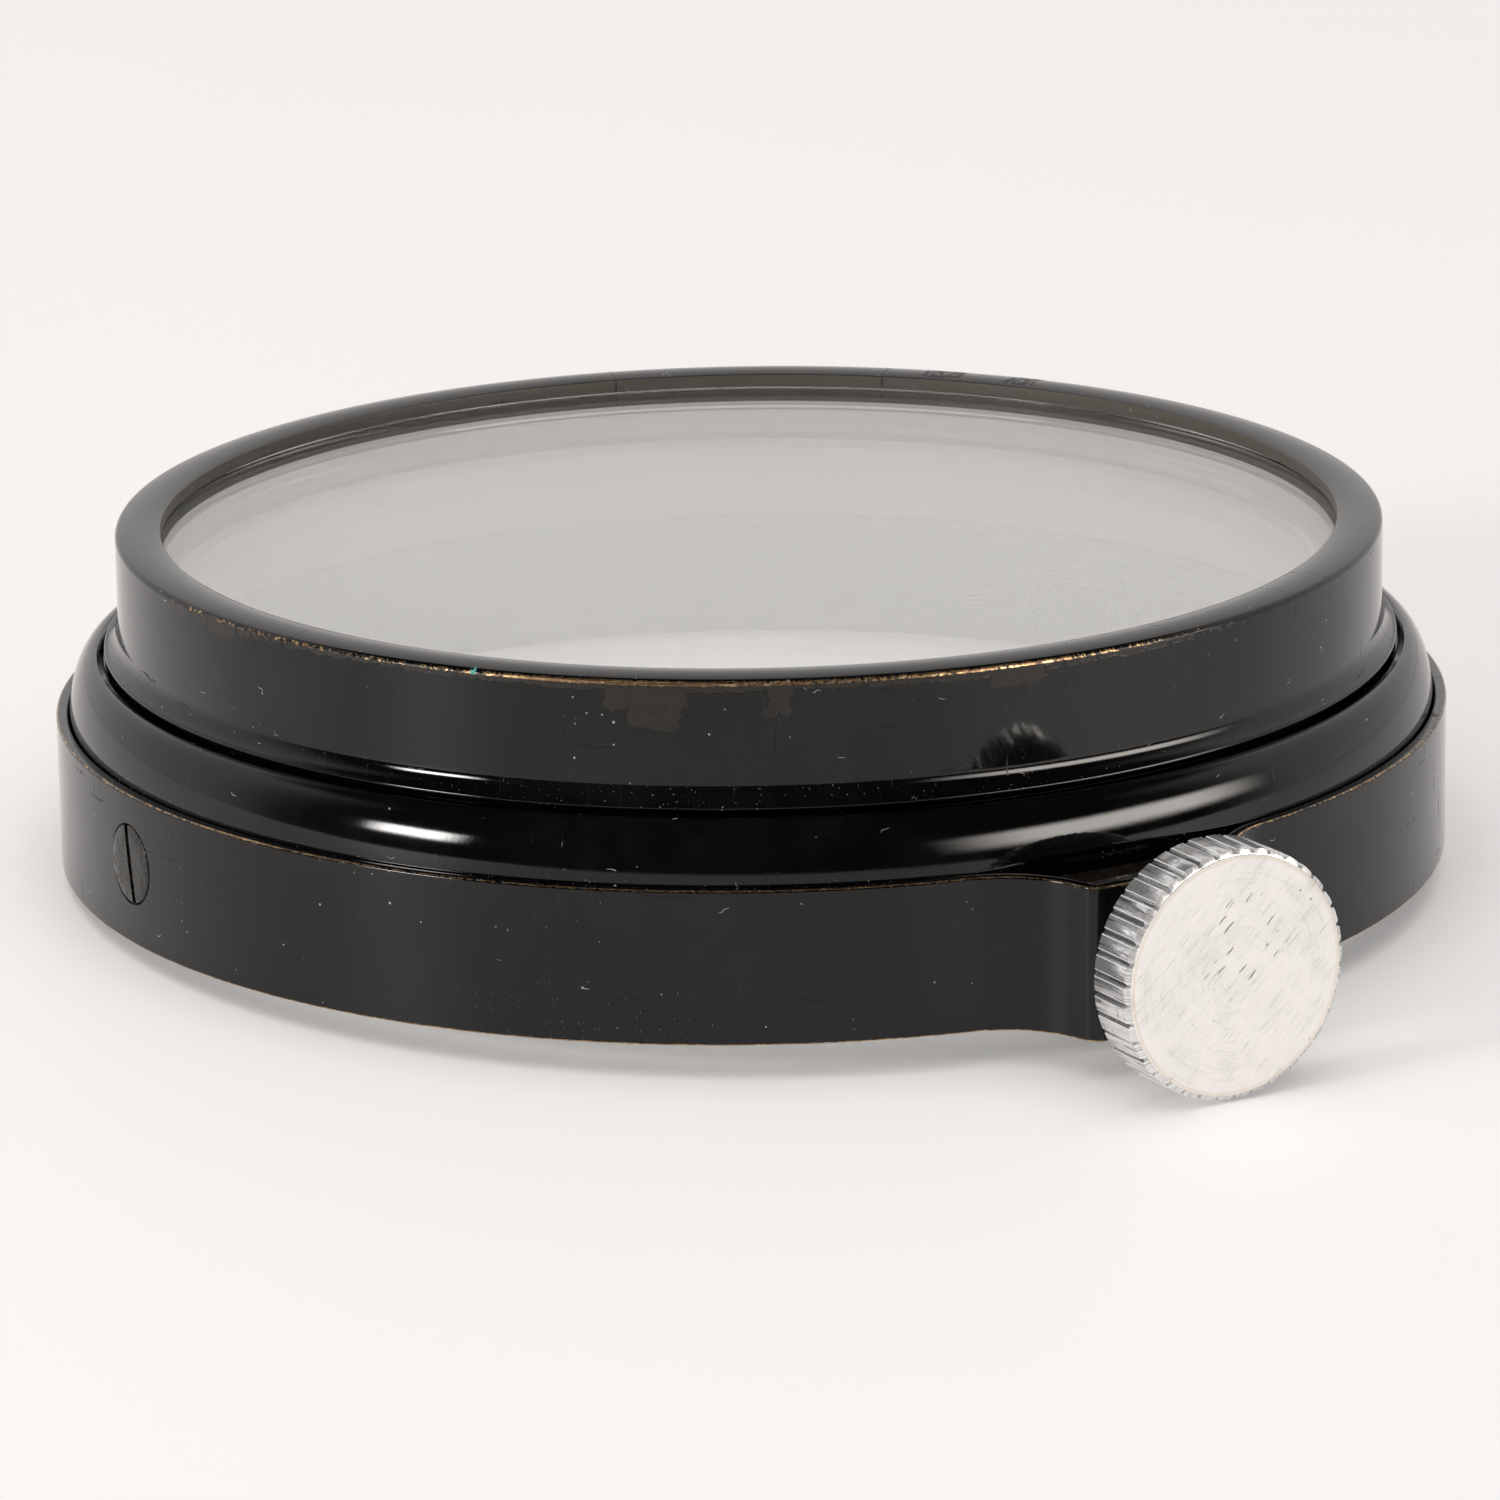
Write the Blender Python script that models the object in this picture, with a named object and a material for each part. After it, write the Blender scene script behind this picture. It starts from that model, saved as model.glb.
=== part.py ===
"""Clamp-on safelight head: a glazed round cell on a collar that a thumbscrew clamps to a lamp tube.

Frame: +Z runs up the ring's own axis, the origin is the centre of the collar's open rim, and the
thumbscrew stands out along -Y. Lengths are metres; MM turns millimetres into metres.
"""

import math

import bmesh
import bpy
from mathutils import Matrix

MM = 0.001
GAP = 0.3 * MM

# Driving dimensions
BAND_RADIUS = 35.0 * MM
BAND_THICKNESS = 0.6 * MM
BAND_HEIGHT = 7.54 * MM
CELL_RADIUS = 31.75 * MM
LIP_CORNER = 16.45 * MM
LIP_CORNER_ROUND = 0.3 * MM
LIP_CROWN_ROUND = 4.0 * MM
WALL_FOOT = 11.8 * MM
COVE_ROUND = 1.15 * MM
BEAD_FOOT = 10.6 * MM
BEAD_ROUND = 0.15 * MM
GLASS_RADIUS = 30.0 * MM
GLASS_TOP = 16.0 * MM
GLASS_THICKNESS = 1.3 * MM
FILM_THICKNESS = 0.2 * MM
BINDING_THICKNESS = 0.2 * MM
SKIRT_BORE = 32.3 * MM
LINING_THICKNESS = 0.6 * MM
FELT_BOTTOM = 0.7 * MM
FELT_TOP = 6.0 * MM
SPIGOT_RADIUS = 31.3 * MM
SPIGOT_FOOT = 6.6 * MM
LIP_INNER = 29.5 * MM
GASKET_INNER = 28.4 * MM
GASKET_THICKNESS = 0.6 * MM
RETAINER_INNER = 28.2 * MM
RETAINER_THICKNESS = 1.6 * MM
SPANNER_SLOT_WIDTH = 1.6 * MM
SPANNER_SLOT_DEPTH = 0.8 * MM
SHOULDER_CREST = 32.9 * MM
SHOULDER_TOP = 10.45 * MM
SHOULDER_FOOT = 7.1 * MM

SCREW_HEIGHT = 4.03 * MM
POCKET_REACH = 38.6 * MM
POCKET_FACE_HALF = 4.2 * MM
POCKET_ROOT_HALF = 5.5 * MM
POCKET_ROOT_ROUND = 5.0 * MM
POCKET_CORNER_ROUND = 1.0 * MM

KNOB_RADIUS = 6.06 * MM
KNOB_BACK = 41.0 * MM
KNOB_FACE = 44.0 * MM
KNOB_CHAMFER = 0.37 * MM
KNOB_TEETH = 38
KNOB_TOOTH_DEPTH = 0.22 * MM
KNOB_BORE_DEPTH = 2.1 * MM
SHANK_RADIUS = 1.5 * MM
SHANK_NECK = 0.9 * MM
SHANK_GRIP = 1.8 * MM
BUTTON_START = 33.3 * MM
BUTTON_END = 34.0 * MM

SHOE_HALF_WIDTH = 4.0 * MM
SHOE_OUTER = 34.9 * MM
SHOE_BOTTOM = 0.4 * MM
SHOE_TOP = 6.6 * MM
BLOCK_INNER = 36.2 * MM
BLOCK_HALF_WIDTH = 3.4 * MM
BLOCK_TOP = 7.1 * MM
BLOCK_BOTTOM = 0.9 * MM
RIVET_OFFSET = 2.55 * MM
RIVET_RADIUS = 0.45 * MM

SCREW_HEAD_RADIUS = 1.95 * MM
SCREW_SHANK_RADIUS = 0.9 * MM
SCREW_SLOT_WIDTH = 0.35 * MM
SCREW_SLOT_DEPTH = 0.45 * MM
SCREW_TIP = 32.45 * MM

RING_SEGMENTS = 72
SMALL_SEGMENTS = 24
SHOE_STEPS = 12

# Derived dimensions
BAND_INNER = BAND_RADIUS - BAND_THICKNESS
SKIRT_RADIUS = BAND_INNER - GAP
CELL_BORE = GLASS_RADIUS + 2 * GAP + BINDING_THICKNESS
GLASS_FLOOR = GLASS_TOP - GLASS_THICKNESS
FILM_TOP = GLASS_FLOOR - GAP
REAR_TOP = FILM_TOP - FILM_THICKNESS - GAP
REAR_FLOOR = REAR_TOP - GLASS_THICKNESS
LINING_INNER = SKIRT_BORE - GAP - LINING_THICKNESS
POCKET_INNER = POCKET_REACH - BAND_THICKNESS

# Each band screw's angle about +Z from +X, and how far its slot leans from upright, in degrees
BAND_SCREWS = {
    "band_screw_left": (180.0, 10.0),
    "band_screw_back": (90.0, -28.0),
    "band_screw_right": (0.0, 47.0),
}

LACQUER = ("black_lacquer", (0.018, 0.017, 0.017), 0.22, 0.0)
BLACKED_BRASS = ("blacked_brass", (0.03, 0.028, 0.026), 0.35, 0.0)
CLEAR_GLASS = ("clear_glass", (0.92, 0.93, 0.92), 0.02, 0.0)
PALE_FILM = ("pale_film", (0.86, 0.85, 0.82), 0.3, 0.0)
BLACK_TAPE = ("black_tape", (0.03, 0.03, 0.03), 0.85, 0.0)
CORK = ("cork", (0.42, 0.28, 0.16), 0.9, 0.0)
FELT = ("black_felt", (0.02, 0.02, 0.022), 0.95, 0.0)
BRASS = ("brass", (0.68, 0.5, 0.24), 0.35, 1.0)
STEEL = ("steel", (0.5, 0.5, 0.5), 0.35, 1.0)
ALUMINIUM = ("aluminium", (0.8, 0.79, 0.77), 0.38, 1.0)


def clear_scene():
    for obj in list(bpy.data.objects):
        bpy.data.objects.remove(obj, do_unlink=True)


def material(finish):
    name, colour, roughness, metallic = finish
    found = bpy.data.materials.get(name)
    if found:
        return found
    made = bpy.data.materials.new(name)
    made.use_nodes = True
    shader = made.node_tree.nodes["Principled BSDF"]
    shader.inputs["Base Color"].default_value = (*colour, 1.0)
    shader.inputs["Roughness"].default_value = roughness
    shader.inputs["Metallic"].default_value = metallic
    made.diffuse_color = (*colour, 1.0)
    return made


def object_from(name, bm, finish):
    """A smooth-shaded object from the bmesh, with its faces pointing out."""
    bmesh.ops.recalc_face_normals(bm, faces=bm.faces)
    mesh = bpy.data.meshes.new(name)
    bm.to_mesh(mesh)
    bm.free()
    mesh.shade_smooth()
    mesh.set_sharp_from_angle(angle=math.radians(30))
    obj = bpy.data.objects.new(name, mesh)
    bpy.context.collection.objects.link(obj)
    obj.data.materials.append(material(finish))
    return obj


def loft(name, rings, finish, looped=False):
    """A solid through rings of as many points: ends capped, or the last ring joined to the first."""
    bm = bmesh.new()
    rows = [[bm.verts.new(point) for point in ring] for ring in rings]
    pairs = list(zip(rows, rows[1:]))
    if looped:
        pairs.append((rows[-1], rows[0]))
    for low, high in pairs:
        for i in range(len(low)):
            j = (i + 1) % len(low)
            bm.faces.new((low[i], low[j], high[j], high[i]))
    if not looped:
        bm.faces.new(rows[0])
        bm.faces.new(rows[-1])
    return object_from(name, bm, finish)


def circle(radius, height, segments):
    """Points round +Z at this height, turned half a step so that no edge runs through a hole's middle."""
    turns = (2 * math.pi * (i + 0.5) / segments for i in range(segments))
    return [(radius * math.cos(a), radius * math.sin(a), height) for a in turns]


def turned(name, profile, finish, segments, looped=False):
    """A turned solid from (radius, height) points: a disc or pin, or a ring where the profile is looped."""
    rings = [circle(radius, height, segments) for radius, height in profile]
    return loft(name, rings, finish, looped)


def arc(centre, radii, start, end, steps):
    """Points on an ellipse's arc, its angles in degrees."""
    turns = (math.radians(start + (end - start) * i / steps) for i in range(steps + 1))
    return [(centre[0] + radii[0] * math.cos(a), centre[1] + radii[1] * math.sin(a)) for a in turns]


def flat_ring(name, inner, outer, low, high, finish):
    profile = [(inner, low), (outer, low), (outer, high), (inner, high)]
    return turned(name, profile, finish, RING_SEGMENTS, looped=True)


def block_points(x, y, z):
    """Two four-point rings that bound a box, from its (low, high) limits on each axis."""
    corners = [(x[0], y[0]), (x[1], y[0]), (x[1], y[1]), (x[0], y[1])]
    return [[(cx, cy, z[0]) for cx, cy in corners], [(cx, cy, z[1]) for cx, cy in corners]]


def point_outward(obj, angle, reach, height):
    """Stands a piece that was built along +Z outwards from the ring axis."""
    turn = math.radians(angle)
    obj.location = (reach * math.cos(turn), reach * math.sin(turn), height)
    obj.rotation_euler = (0.0, math.pi / 2, turn)


def cut(obj, cutter):
    cutter.hide_render = True
    cutter.display_type = "WIRE"
    boolean = obj.modifiers.new(f"cut_{cutter.name}", "BOOLEAN")
    boolean.operation = "DIFFERENCE"
    boolean.solver = "EXACT"
    boolean.object = cutter


def hole(radius, start, end):
    """A plain hole's (radius, reach) profile."""
    return [(radius, start), (radius, end)]


def radial_hole(obj, name, profile, angle, height, side=0.0):
    """Cuts a turned hole whose (radius, reach) profile stands along a radius of the ring."""
    cutter = turned(name, profile, LACQUER, SMALL_SEGMENTS)
    point_outward(cutter, angle, 0.0, height)
    if side:
        cutter.location.x += side
    cut(obj, cutter)


# The glazed cell


def lip_profile():
    """The lip's tight outer corner, then its broad crown, which falls towards the glass."""
    join = 76
    leave = 106
    corner = (CELL_RADIUS - LIP_CORNER_ROUND, LIP_CORNER)
    shift = LIP_CORNER_ROUND - LIP_CROWN_ROUND
    turn = math.radians(join)
    crown = (corner[0] + shift * math.cos(turn), corner[1] + shift * math.sin(turn))
    points = arc(corner, (LIP_CORNER_ROUND, LIP_CORNER_ROUND), 0, join, 3)
    return points + arc(crown, (LIP_CROWN_ROUND, LIP_CROWN_ROUND), join, leave, 3)[1:]


def make_cell_ring():
    cove = arc((CELL_RADIUS + COVE_ROUND, WALL_FOOT), (COVE_ROUND, COVE_ROUND), 240, 180, 3)
    bead = arc((CELL_RADIUS + 0.6 * MM, BEAD_FOOT + BEAD_ROUND), (BEAD_ROUND, BEAD_ROUND), -90, 60, 2)
    profile = [(CELL_BORE, SPIGOT_FOOT), (SPIGOT_RADIUS, SPIGOT_FOOT)]
    profile += [(SPIGOT_RADIUS, BEAD_FOOT)]
    profile += bead + cove + lip_profile()
    seat = GLASS_TOP + GAP
    profile += [(LIP_INNER, seat), (CELL_BORE, seat)]
    return turned("cell_ring", profile, LACQUER, RING_SEGMENTS, looped=True)


def glass_disc(name, floor, top):
    edge = 0.15 * MM
    profile = [
        (GLASS_RADIUS - edge, floor),
        (GLASS_RADIUS, floor + edge),
        (GLASS_RADIUS, top - edge),
        (GLASS_RADIUS - edge, top),
    ]
    return turned(name, profile, CLEAR_GLASS, RING_SEGMENTS)


def make_glazing():
    glass_disc("front_glass", GLASS_FLOOR, GLASS_TOP)
    glass_disc("rear_glass", REAR_FLOOR, REAR_TOP)
    film = [(GLASS_RADIUS, FILM_TOP - FILM_THICKNESS), (GLASS_RADIUS, FILM_TOP)]
    turned("filter_film", film, PALE_FILM, RING_SEGMENTS)
    inner = GLASS_RADIUS + GAP
    flat_ring("edge_binding", inner, inner + BINDING_THICKNESS, REAR_FLOOR, GLASS_TOP, BLACK_TAPE)


def make_retainers():
    outer = CELL_BORE - GAP
    gasket_top = REAR_FLOOR - GAP
    gasket_floor = gasket_top - GASKET_THICKNESS
    flat_ring("rear_gasket", GASKET_INNER, outer, gasket_floor, gasket_top, CORK)
    top = gasket_floor - GAP
    low = top - RETAINER_THICKNESS
    ring = flat_ring("retaining_ring", RETAINER_INNER, outer, low, top, BLACKED_BRASS)
    half = SPANNER_SLOT_WIDTH / 2
    for side, name in ((-1, "spanner_slot_left"), (1, "spanner_slot_right")):
        reach = sorted((side * (RETAINER_INNER - 1 * MM), side * (outer + 1 * MM)))
        depth = (low - 1 * MM, low + SPANNER_SLOT_DEPTH)
        cut(ring, loft(name, block_points(reach, (-half, half), depth), BLACKED_BRASS))


# The collar


def make_collar_ring():
    bore = SPIGOT_RADIUS + GAP
    radii = (SKIRT_RADIUS - SHOULDER_CREST, SHOULDER_TOP - SHOULDER_FOOT)
    roll = arc((SHOULDER_CREST, SHOULDER_FOOT), radii, 0, 90, 6)
    ledge = BEAD_FOOT - GAP - 0.1 * MM
    foot = SPIGOT_FOOT - GAP
    profile = [
        (SKIRT_BORE, 0.15 * MM),
        (SKIRT_BORE + 0.15 * MM, 0.0),
        (SKIRT_RADIUS - 0.15 * MM, 0.0),
        (SKIRT_RADIUS, 0.15 * MM),
    ]
    profile += roll
    profile += [(SHOULDER_CREST - 0.35 * MM, ledge), (bore, ledge), (bore, foot), (SKIRT_BORE, foot)]
    ring = turned("collar_ring", profile, LACQUER, RING_SEGMENTS, looped=True)
    half = SHOE_HALF_WIDTH + GAP
    reach = (-SKIRT_RADIUS - 2 * MM, -SKIRT_BORE + 2 * MM)
    window = block_points((-half, half), reach, (-1 * MM, SHOE_TOP + GAP))
    cut(ring, loft("shoe_window", window, LACQUER))
    for name, (angle, _) in BAND_SCREWS.items():
        drilled = hole(SCREW_SHANK_RADIUS + GAP, SKIRT_BORE - 1 * MM, SKIRT_RADIUS + 2 * MM)
        radial_hole(ring, f"collar_hole_{name}", drilled, angle, SCREW_HEIGHT)


def felt_strip(name, outer, start, sweep, steps):
    """Felt round part of the bore, from the lining's inner face to this outer radius."""
    inner = LINING_INNER
    corners = [(inner, FELT_BOTTOM), (outer, FELT_BOTTOM), (outer, FELT_TOP), (inner, FELT_TOP)]
    turns = [start + sweep * i / steps for i in range(steps + 1)]
    rings = [[(r * math.cos(a), r * math.sin(a), z) for r, z in corners] for a in turns]
    return loft(name, rings, FELT)


def make_skirt_lining():
    """A strip inside the skirt, open where the pressure shoe comes through."""
    opening = math.asin((SHOE_HALF_WIDTH + 2 * GAP) / LINING_INNER)
    start = opening - math.pi / 2
    sweep = 2 * math.pi - 2 * opening
    outer = LINING_INNER + LINING_THICKNESS
    felt_strip("skirt_lining", outer, start, sweep, RING_SEGMENTS)


def bow(centre, radius, start, end, steps, side=1):
    """Points on an arc with the normal at each; side is -1 where the arc's centre lies outside the band."""
    turns = [start + (end - start) * i / steps for i in range(steps + 1)]
    return [
        (
            (centre[0] + radius * math.cos(a), centre[1] + radius * math.sin(a)),
            (side * math.cos(a), side * math.sin(a)),
        )
        for a in turns
    ]


def half_band_path():
    """Mid-line of half the band from the pocket's middle to the back, as (point, outward normal).

    The first coordinate is sideways from the thumbscrew and the second is the reach along it.
    """
    mid = BAND_THICKNESS / 2
    mid_radius = BAND_RADIUS - mid
    root_reach = math.sqrt(BAND_RADIUS**2 - POCKET_ROOT_HALF**2)
    run = (POCKET_FACE_HALF - POCKET_ROOT_HALF, POCKET_REACH - root_reach)
    length = math.hypot(*run)
    along = (run[0] / length, run[1] / length)
    out = (along[1], -along[0])
    corner_radius = POCKET_CORNER_ROUND - mid
    root_radius = POCKET_ROOT_ROUND + mid
    foot = (POCKET_ROOT_HALF - mid * out[0], root_reach - mid * out[1])

    corner_reach = POCKET_REACH - mid - corner_radius
    corner_side = foot[0] - (corner_radius + (corner_reach - foot[1]) * out[1]) / out[0]
    base = (foot[0] + root_radius * out[0], foot[1] + root_radius * out[1])
    dot = base[0] * along[0] + base[1] * along[1]
    far = math.hypot(*base) ** 2 - (mid_radius + root_radius) ** 2
    slide = math.sqrt(dot**2 - far) - dot
    root = (base[0] + slide * along[0], base[1] + slide * along[1])

    wall_turn = math.atan2(out[1], out[0])
    root_turn = math.atan2(root[1], root[0])
    path = bow((corner_side, corner_reach), corner_radius, math.pi / 2, wall_turn, 6)
    path += bow(root, root_radius, wall_turn + math.pi, root_turn + math.pi, 6, side=-1)
    path += bow((0.0, 0.0), mid_radius, root_turn, -math.pi / 2, RING_SEGMENTS // 2)[1:]
    return path


def band_section(point, normal):
    """The band's cross-section at a point of its mid-line, its two rims slightly broken."""
    mid = BAND_THICKNESS / 2
    edge = 0.12 * MM
    shape = [
        (-mid, edge),
        (-mid + edge, 0.0),
        (mid - edge, 0.0),
        (mid, edge),
        (mid, BAND_HEIGHT - edge),
        (mid - edge, BAND_HEIGHT),
        (-mid + edge, BAND_HEIGHT),
        (-mid, BAND_HEIGHT - edge),
    ]
    return [(point[0] + d * normal[0], -(point[1] + d * normal[1]), z) for d, z in shape]


def pocket_holes(obj, name, start, end):
    """The holes that the thumbscrew and the two rivets pass through in the pocket."""
    wide = hole(SHANK_RADIUS + GAP, start, end)
    radial_hole(obj, f"{name}_hole_thumbscrew", wide, -90, SCREW_HEIGHT)
    small = hole(RIVET_RADIUS + GAP, start, end)
    for side in (-1, 1):
        radial_hole(obj, f"{name}_hole_rivet_{side}", small, -90, SCREW_HEIGHT, side * RIVET_OFFSET)


def make_clamp_band():
    right = half_band_path()
    left = [((-p[0], p[1]), (-n[0], n[1])) for p, n in right[:-1]]
    rings = [band_section(p, n) for p, n in right + left[::-1]]
    band = loft("clamp_band", rings, LACQUER, looped=True)
    sunk = [
        (SCREW_SHANK_RADIUS + GAP, BAND_INNER - 1 * MM),
        (SCREW_SHANK_RADIUS + GAP, BAND_RADIUS - 0.75 * MM),
        (SCREW_HEAD_RADIUS + 0.2 * MM, BAND_RADIUS - 0.1 * MM),
        (SCREW_HEAD_RADIUS + 0.2 * MM, BAND_RADIUS + 1 * MM),
    ]
    for name, (angle, _) in BAND_SCREWS.items():
        radial_hole(band, f"band_hole_{name}", sunk, angle, SCREW_HEIGHT)
    pocket_holes(band, "band", POCKET_INNER - 1 * MM, POCKET_REACH + 1 * MM)


def make_band_screw(name, angle, lean):
    """A countersunk screw, its flat slotted head level with the band."""
    neck = BAND_RADIUS - 0.85 * MM
    profile = [
        (SCREW_SHANK_RADIUS, SCREW_TIP),
        (SCREW_SHANK_RADIUS, neck),
        (SCREW_HEAD_RADIUS, BAND_RADIUS - 0.12 * MM),
        (SCREW_HEAD_RADIUS, BAND_RADIUS - 0.05 * MM),
        (SCREW_HEAD_RADIUS - 0.07 * MM, BAND_RADIUS),
    ]
    screw = turned(name, profile, LACQUER, SMALL_SEGMENTS)
    point_outward(screw, angle, 0.0, SCREW_HEIGHT)
    half = SCREW_SLOT_WIDTH / 2
    reach = (BAND_RADIUS - SCREW_SLOT_DEPTH, BAND_RADIUS + 1 * MM)
    slot = loft(f"slot_{name}", block_points((-3 * MM, 3 * MM), (-half, half), reach), LACQUER)
    point_outward(slot, angle, 0.0, SCREW_HEIGHT)
    leaning = Matrix.Rotation(math.radians(lean), 3, "Z")
    slot.rotation_euler = (screw.rotation_euler.to_matrix() @ leaning).to_euler()
    cut(screw, slot)


# The clamp inside the pocket


def make_clamp_block():
    """The threaded block riveted behind the pocket's face."""
    y = (-(POCKET_INNER - GAP), -BLOCK_INNER)
    points = block_points((-BLOCK_HALF_WIDTH, BLOCK_HALF_WIDTH), y, (BLOCK_BOTTOM, BLOCK_TOP))
    block = loft("clamp_block", points, BLACKED_BRASS)
    pocket_holes(block, "block", BLOCK_INNER - 0.5 * MM, POCKET_INNER + 0.5 * MM)


def make_block_rivet(name, side):
    profile = [
        (RIVET_RADIUS, BLOCK_INNER + 0.1 * MM),
        (RIVET_RADIUS, POCKET_REACH - 0.1 * MM),
    ]
    rivet = turned(name, profile, BLACKED_BRASS, SMALL_SEGMENTS // 2)
    point_outward(rivet, -90, 0.0, SCREW_HEIGHT)
    rivet.location.x = side * RIVET_OFFSET


def shoe_block():
    """The shoe's body: its inner face follows the bore, and its outer face is square to the thumbscrew."""
    sweep = math.asin(SHOE_HALF_WIDTH / SKIRT_BORE)
    plan = []
    for i in range(SHOE_STEPS + 1):
        turn = -math.pi / 2 - sweep + 2 * sweep * i / SHOE_STEPS
        plan.append((SKIRT_BORE * math.cos(turn), SKIRT_BORE * math.sin(turn)))
    plan += [(SHOE_HALF_WIDTH, -SHOE_OUTER), (-SHOE_HALF_WIDTH, -SHOE_OUTER)]
    levels = (SHOE_BOTTOM, SHOE_TOP)
    return loft("pressure_shoe", [[(x, y, z) for x, y in plan] for z in levels], BRASS)


def make_pressure_shoe(slide_axis):
    shoe = shoe_block()
    wide = SHANK_RADIUS + GAP
    reach = (-BUTTON_END - GAP, -BUTTON_START + GAP)
    button = block_points((-wide, wide), reach, (-1 * MM, SCREW_HEIGHT + wide))
    cut(shoe, loft("shoe_button_slot", button, BRASS))
    narrow = SHANK_NECK + GAP
    reach = (-SHOE_OUTER - 1 * MM, -BUTTON_END - GAP / 3)
    neck = block_points((-narrow, narrow), reach, (-2 * MM, SCREW_HEIGHT + narrow))
    cut(shoe, loft("shoe_neck_slot", neck, BRASS))
    outer = SKIRT_BORE - GAP
    sweep = math.asin((SHOE_HALF_WIDTH - GAP) / outer)
    pad = felt_strip("shoe_pad", outer, -math.pi / 2 - sweep, 2 * sweep, SHOE_STEPS)
    for piece in (shoe, pad):
        adopt(piece, slide_axis)


def adopt(piece, parent):
    """Parents a piece without moving it."""
    bpy.context.view_layer.update()
    piece.parent = parent
    piece.matrix_parent_inverse = parent.matrix_world.inverted()


# The thumbscrew


def make_thumb_shank(turn_axis):
    """A threaded stud whose necked button end is caught in the pressure shoe."""
    profile = [
        (SHANK_RADIUS, BUTTON_START),
        (SHANK_RADIUS, BUTTON_END),
        (SHANK_NECK, BUTTON_END),
        (SHANK_NECK, SHOE_OUTER + GAP),
        (SHANK_RADIUS, SHOE_OUTER + GAP),
        (SHANK_RADIUS, KNOB_BACK + SHANK_GRIP),
    ]
    shank = turned("thumb_shank", profile, STEEL, SMALL_SEGMENTS)
    point_outward(shank, -90, 0.0, SCREW_HEIGHT)
    adopt(shank, turn_axis)


def toothed_outline(limit, reach):
    """The knob's serrated outline at this reach, no wider than the limit."""
    points = []
    root = KNOB_RADIUS - KNOB_TOOTH_DEPTH
    for tooth in range(KNOB_TEETH):
        for share, radius in ((0.0, root), (0.22, KNOB_RADIUS), (0.78, KNOB_RADIUS)):
            turn = 2 * math.pi * (tooth + share) / KNOB_TEETH
            r = min(radius, limit)
            points.append((r * math.cos(turn), r * math.sin(turn), reach))
    return points


def make_thumb_knob(turn_axis):
    """A serrated disc with both rims chamfered and a blind bore for the shank."""
    back_chamfer = 0.26 * MM
    face_limit = KNOB_RADIUS - back_chamfer
    bore = SHANK_RADIUS + GAP
    bore_end = KNOB_BACK + KNOB_BORE_DEPTH
    rings = [
        toothed_outline(bore, bore_end),
        toothed_outline(bore, KNOB_BACK),
        toothed_outline(face_limit, KNOB_BACK),
        toothed_outline(KNOB_RADIUS, KNOB_BACK + back_chamfer),
        toothed_outline(KNOB_RADIUS, KNOB_FACE - KNOB_CHAMFER),
        toothed_outline(face_limit, KNOB_FACE),
    ]
    knob = loft("thumb_knob", rings, ALUMINIUM)
    point_outward(knob, -90, 0.0, SCREW_HEIGHT)
    adopt(knob, turn_axis)


def empty(name, location, parent=None):
    marker = bpy.data.objects.new(name, None)
    bpy.context.collection.objects.link(marker)
    marker.location = location
    if parent:
        adopt(marker, parent)
    return marker


def main():
    clear_scene()
    make_cell_ring()
    make_glazing()
    make_retainers()
    make_collar_ring()
    make_skirt_lining()
    make_clamp_band()
    for name, (angle, lean) in BAND_SCREWS.items():
        make_band_screw(name, angle, lean)
    make_clamp_block()
    make_block_rivet("block_rivet_left", -1)
    make_block_rivet("block_rivet_right", 1)
    slide_axis = empty("shoe_slide_axis", (0.0, -SHOE_OUTER, SCREW_HEIGHT))
    turn_axis = empty("screw_turn_axis", (0.0, -KNOB_BACK, SCREW_HEIGHT), slide_axis)
    make_pressure_shoe(slide_axis)
    make_thumb_shank(turn_axis)
    make_thumb_knob(turn_axis)


main()
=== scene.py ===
import math

import bmesh
import bpy
from mathutils import Matrix, Quaternion, Vector


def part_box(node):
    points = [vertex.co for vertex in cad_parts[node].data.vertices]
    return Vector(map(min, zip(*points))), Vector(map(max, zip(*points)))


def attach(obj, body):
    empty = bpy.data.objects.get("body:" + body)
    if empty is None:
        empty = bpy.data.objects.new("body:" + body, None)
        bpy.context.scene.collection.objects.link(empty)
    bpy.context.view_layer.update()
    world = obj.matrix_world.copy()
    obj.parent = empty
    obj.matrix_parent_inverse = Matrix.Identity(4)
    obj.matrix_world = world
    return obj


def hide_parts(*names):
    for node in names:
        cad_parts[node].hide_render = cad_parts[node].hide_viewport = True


# Finish of the clamp-on safelight head: a glazed cell in black lacquered brass, on a collar that a
# thumbscrew clamps to a lamp tube. +Z is the ring's axis and the thumbscrew stands along -Y.
# Lengths are millimetres, which MM turns into metres where a mesh or the camera is made. Only the
# table and the lights are given in metres.

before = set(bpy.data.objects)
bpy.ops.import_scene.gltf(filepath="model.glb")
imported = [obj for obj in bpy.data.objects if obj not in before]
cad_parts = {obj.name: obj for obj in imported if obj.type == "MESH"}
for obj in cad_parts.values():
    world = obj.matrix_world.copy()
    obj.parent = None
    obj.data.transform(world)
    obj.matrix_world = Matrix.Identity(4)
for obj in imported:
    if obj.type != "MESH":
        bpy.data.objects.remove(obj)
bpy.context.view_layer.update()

MM = 0.001

# The CAD model's clearance, and what stands for it between lip and glass and between collar and band
GAP = 0.3
CLOSE_FIT = 0.05

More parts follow.
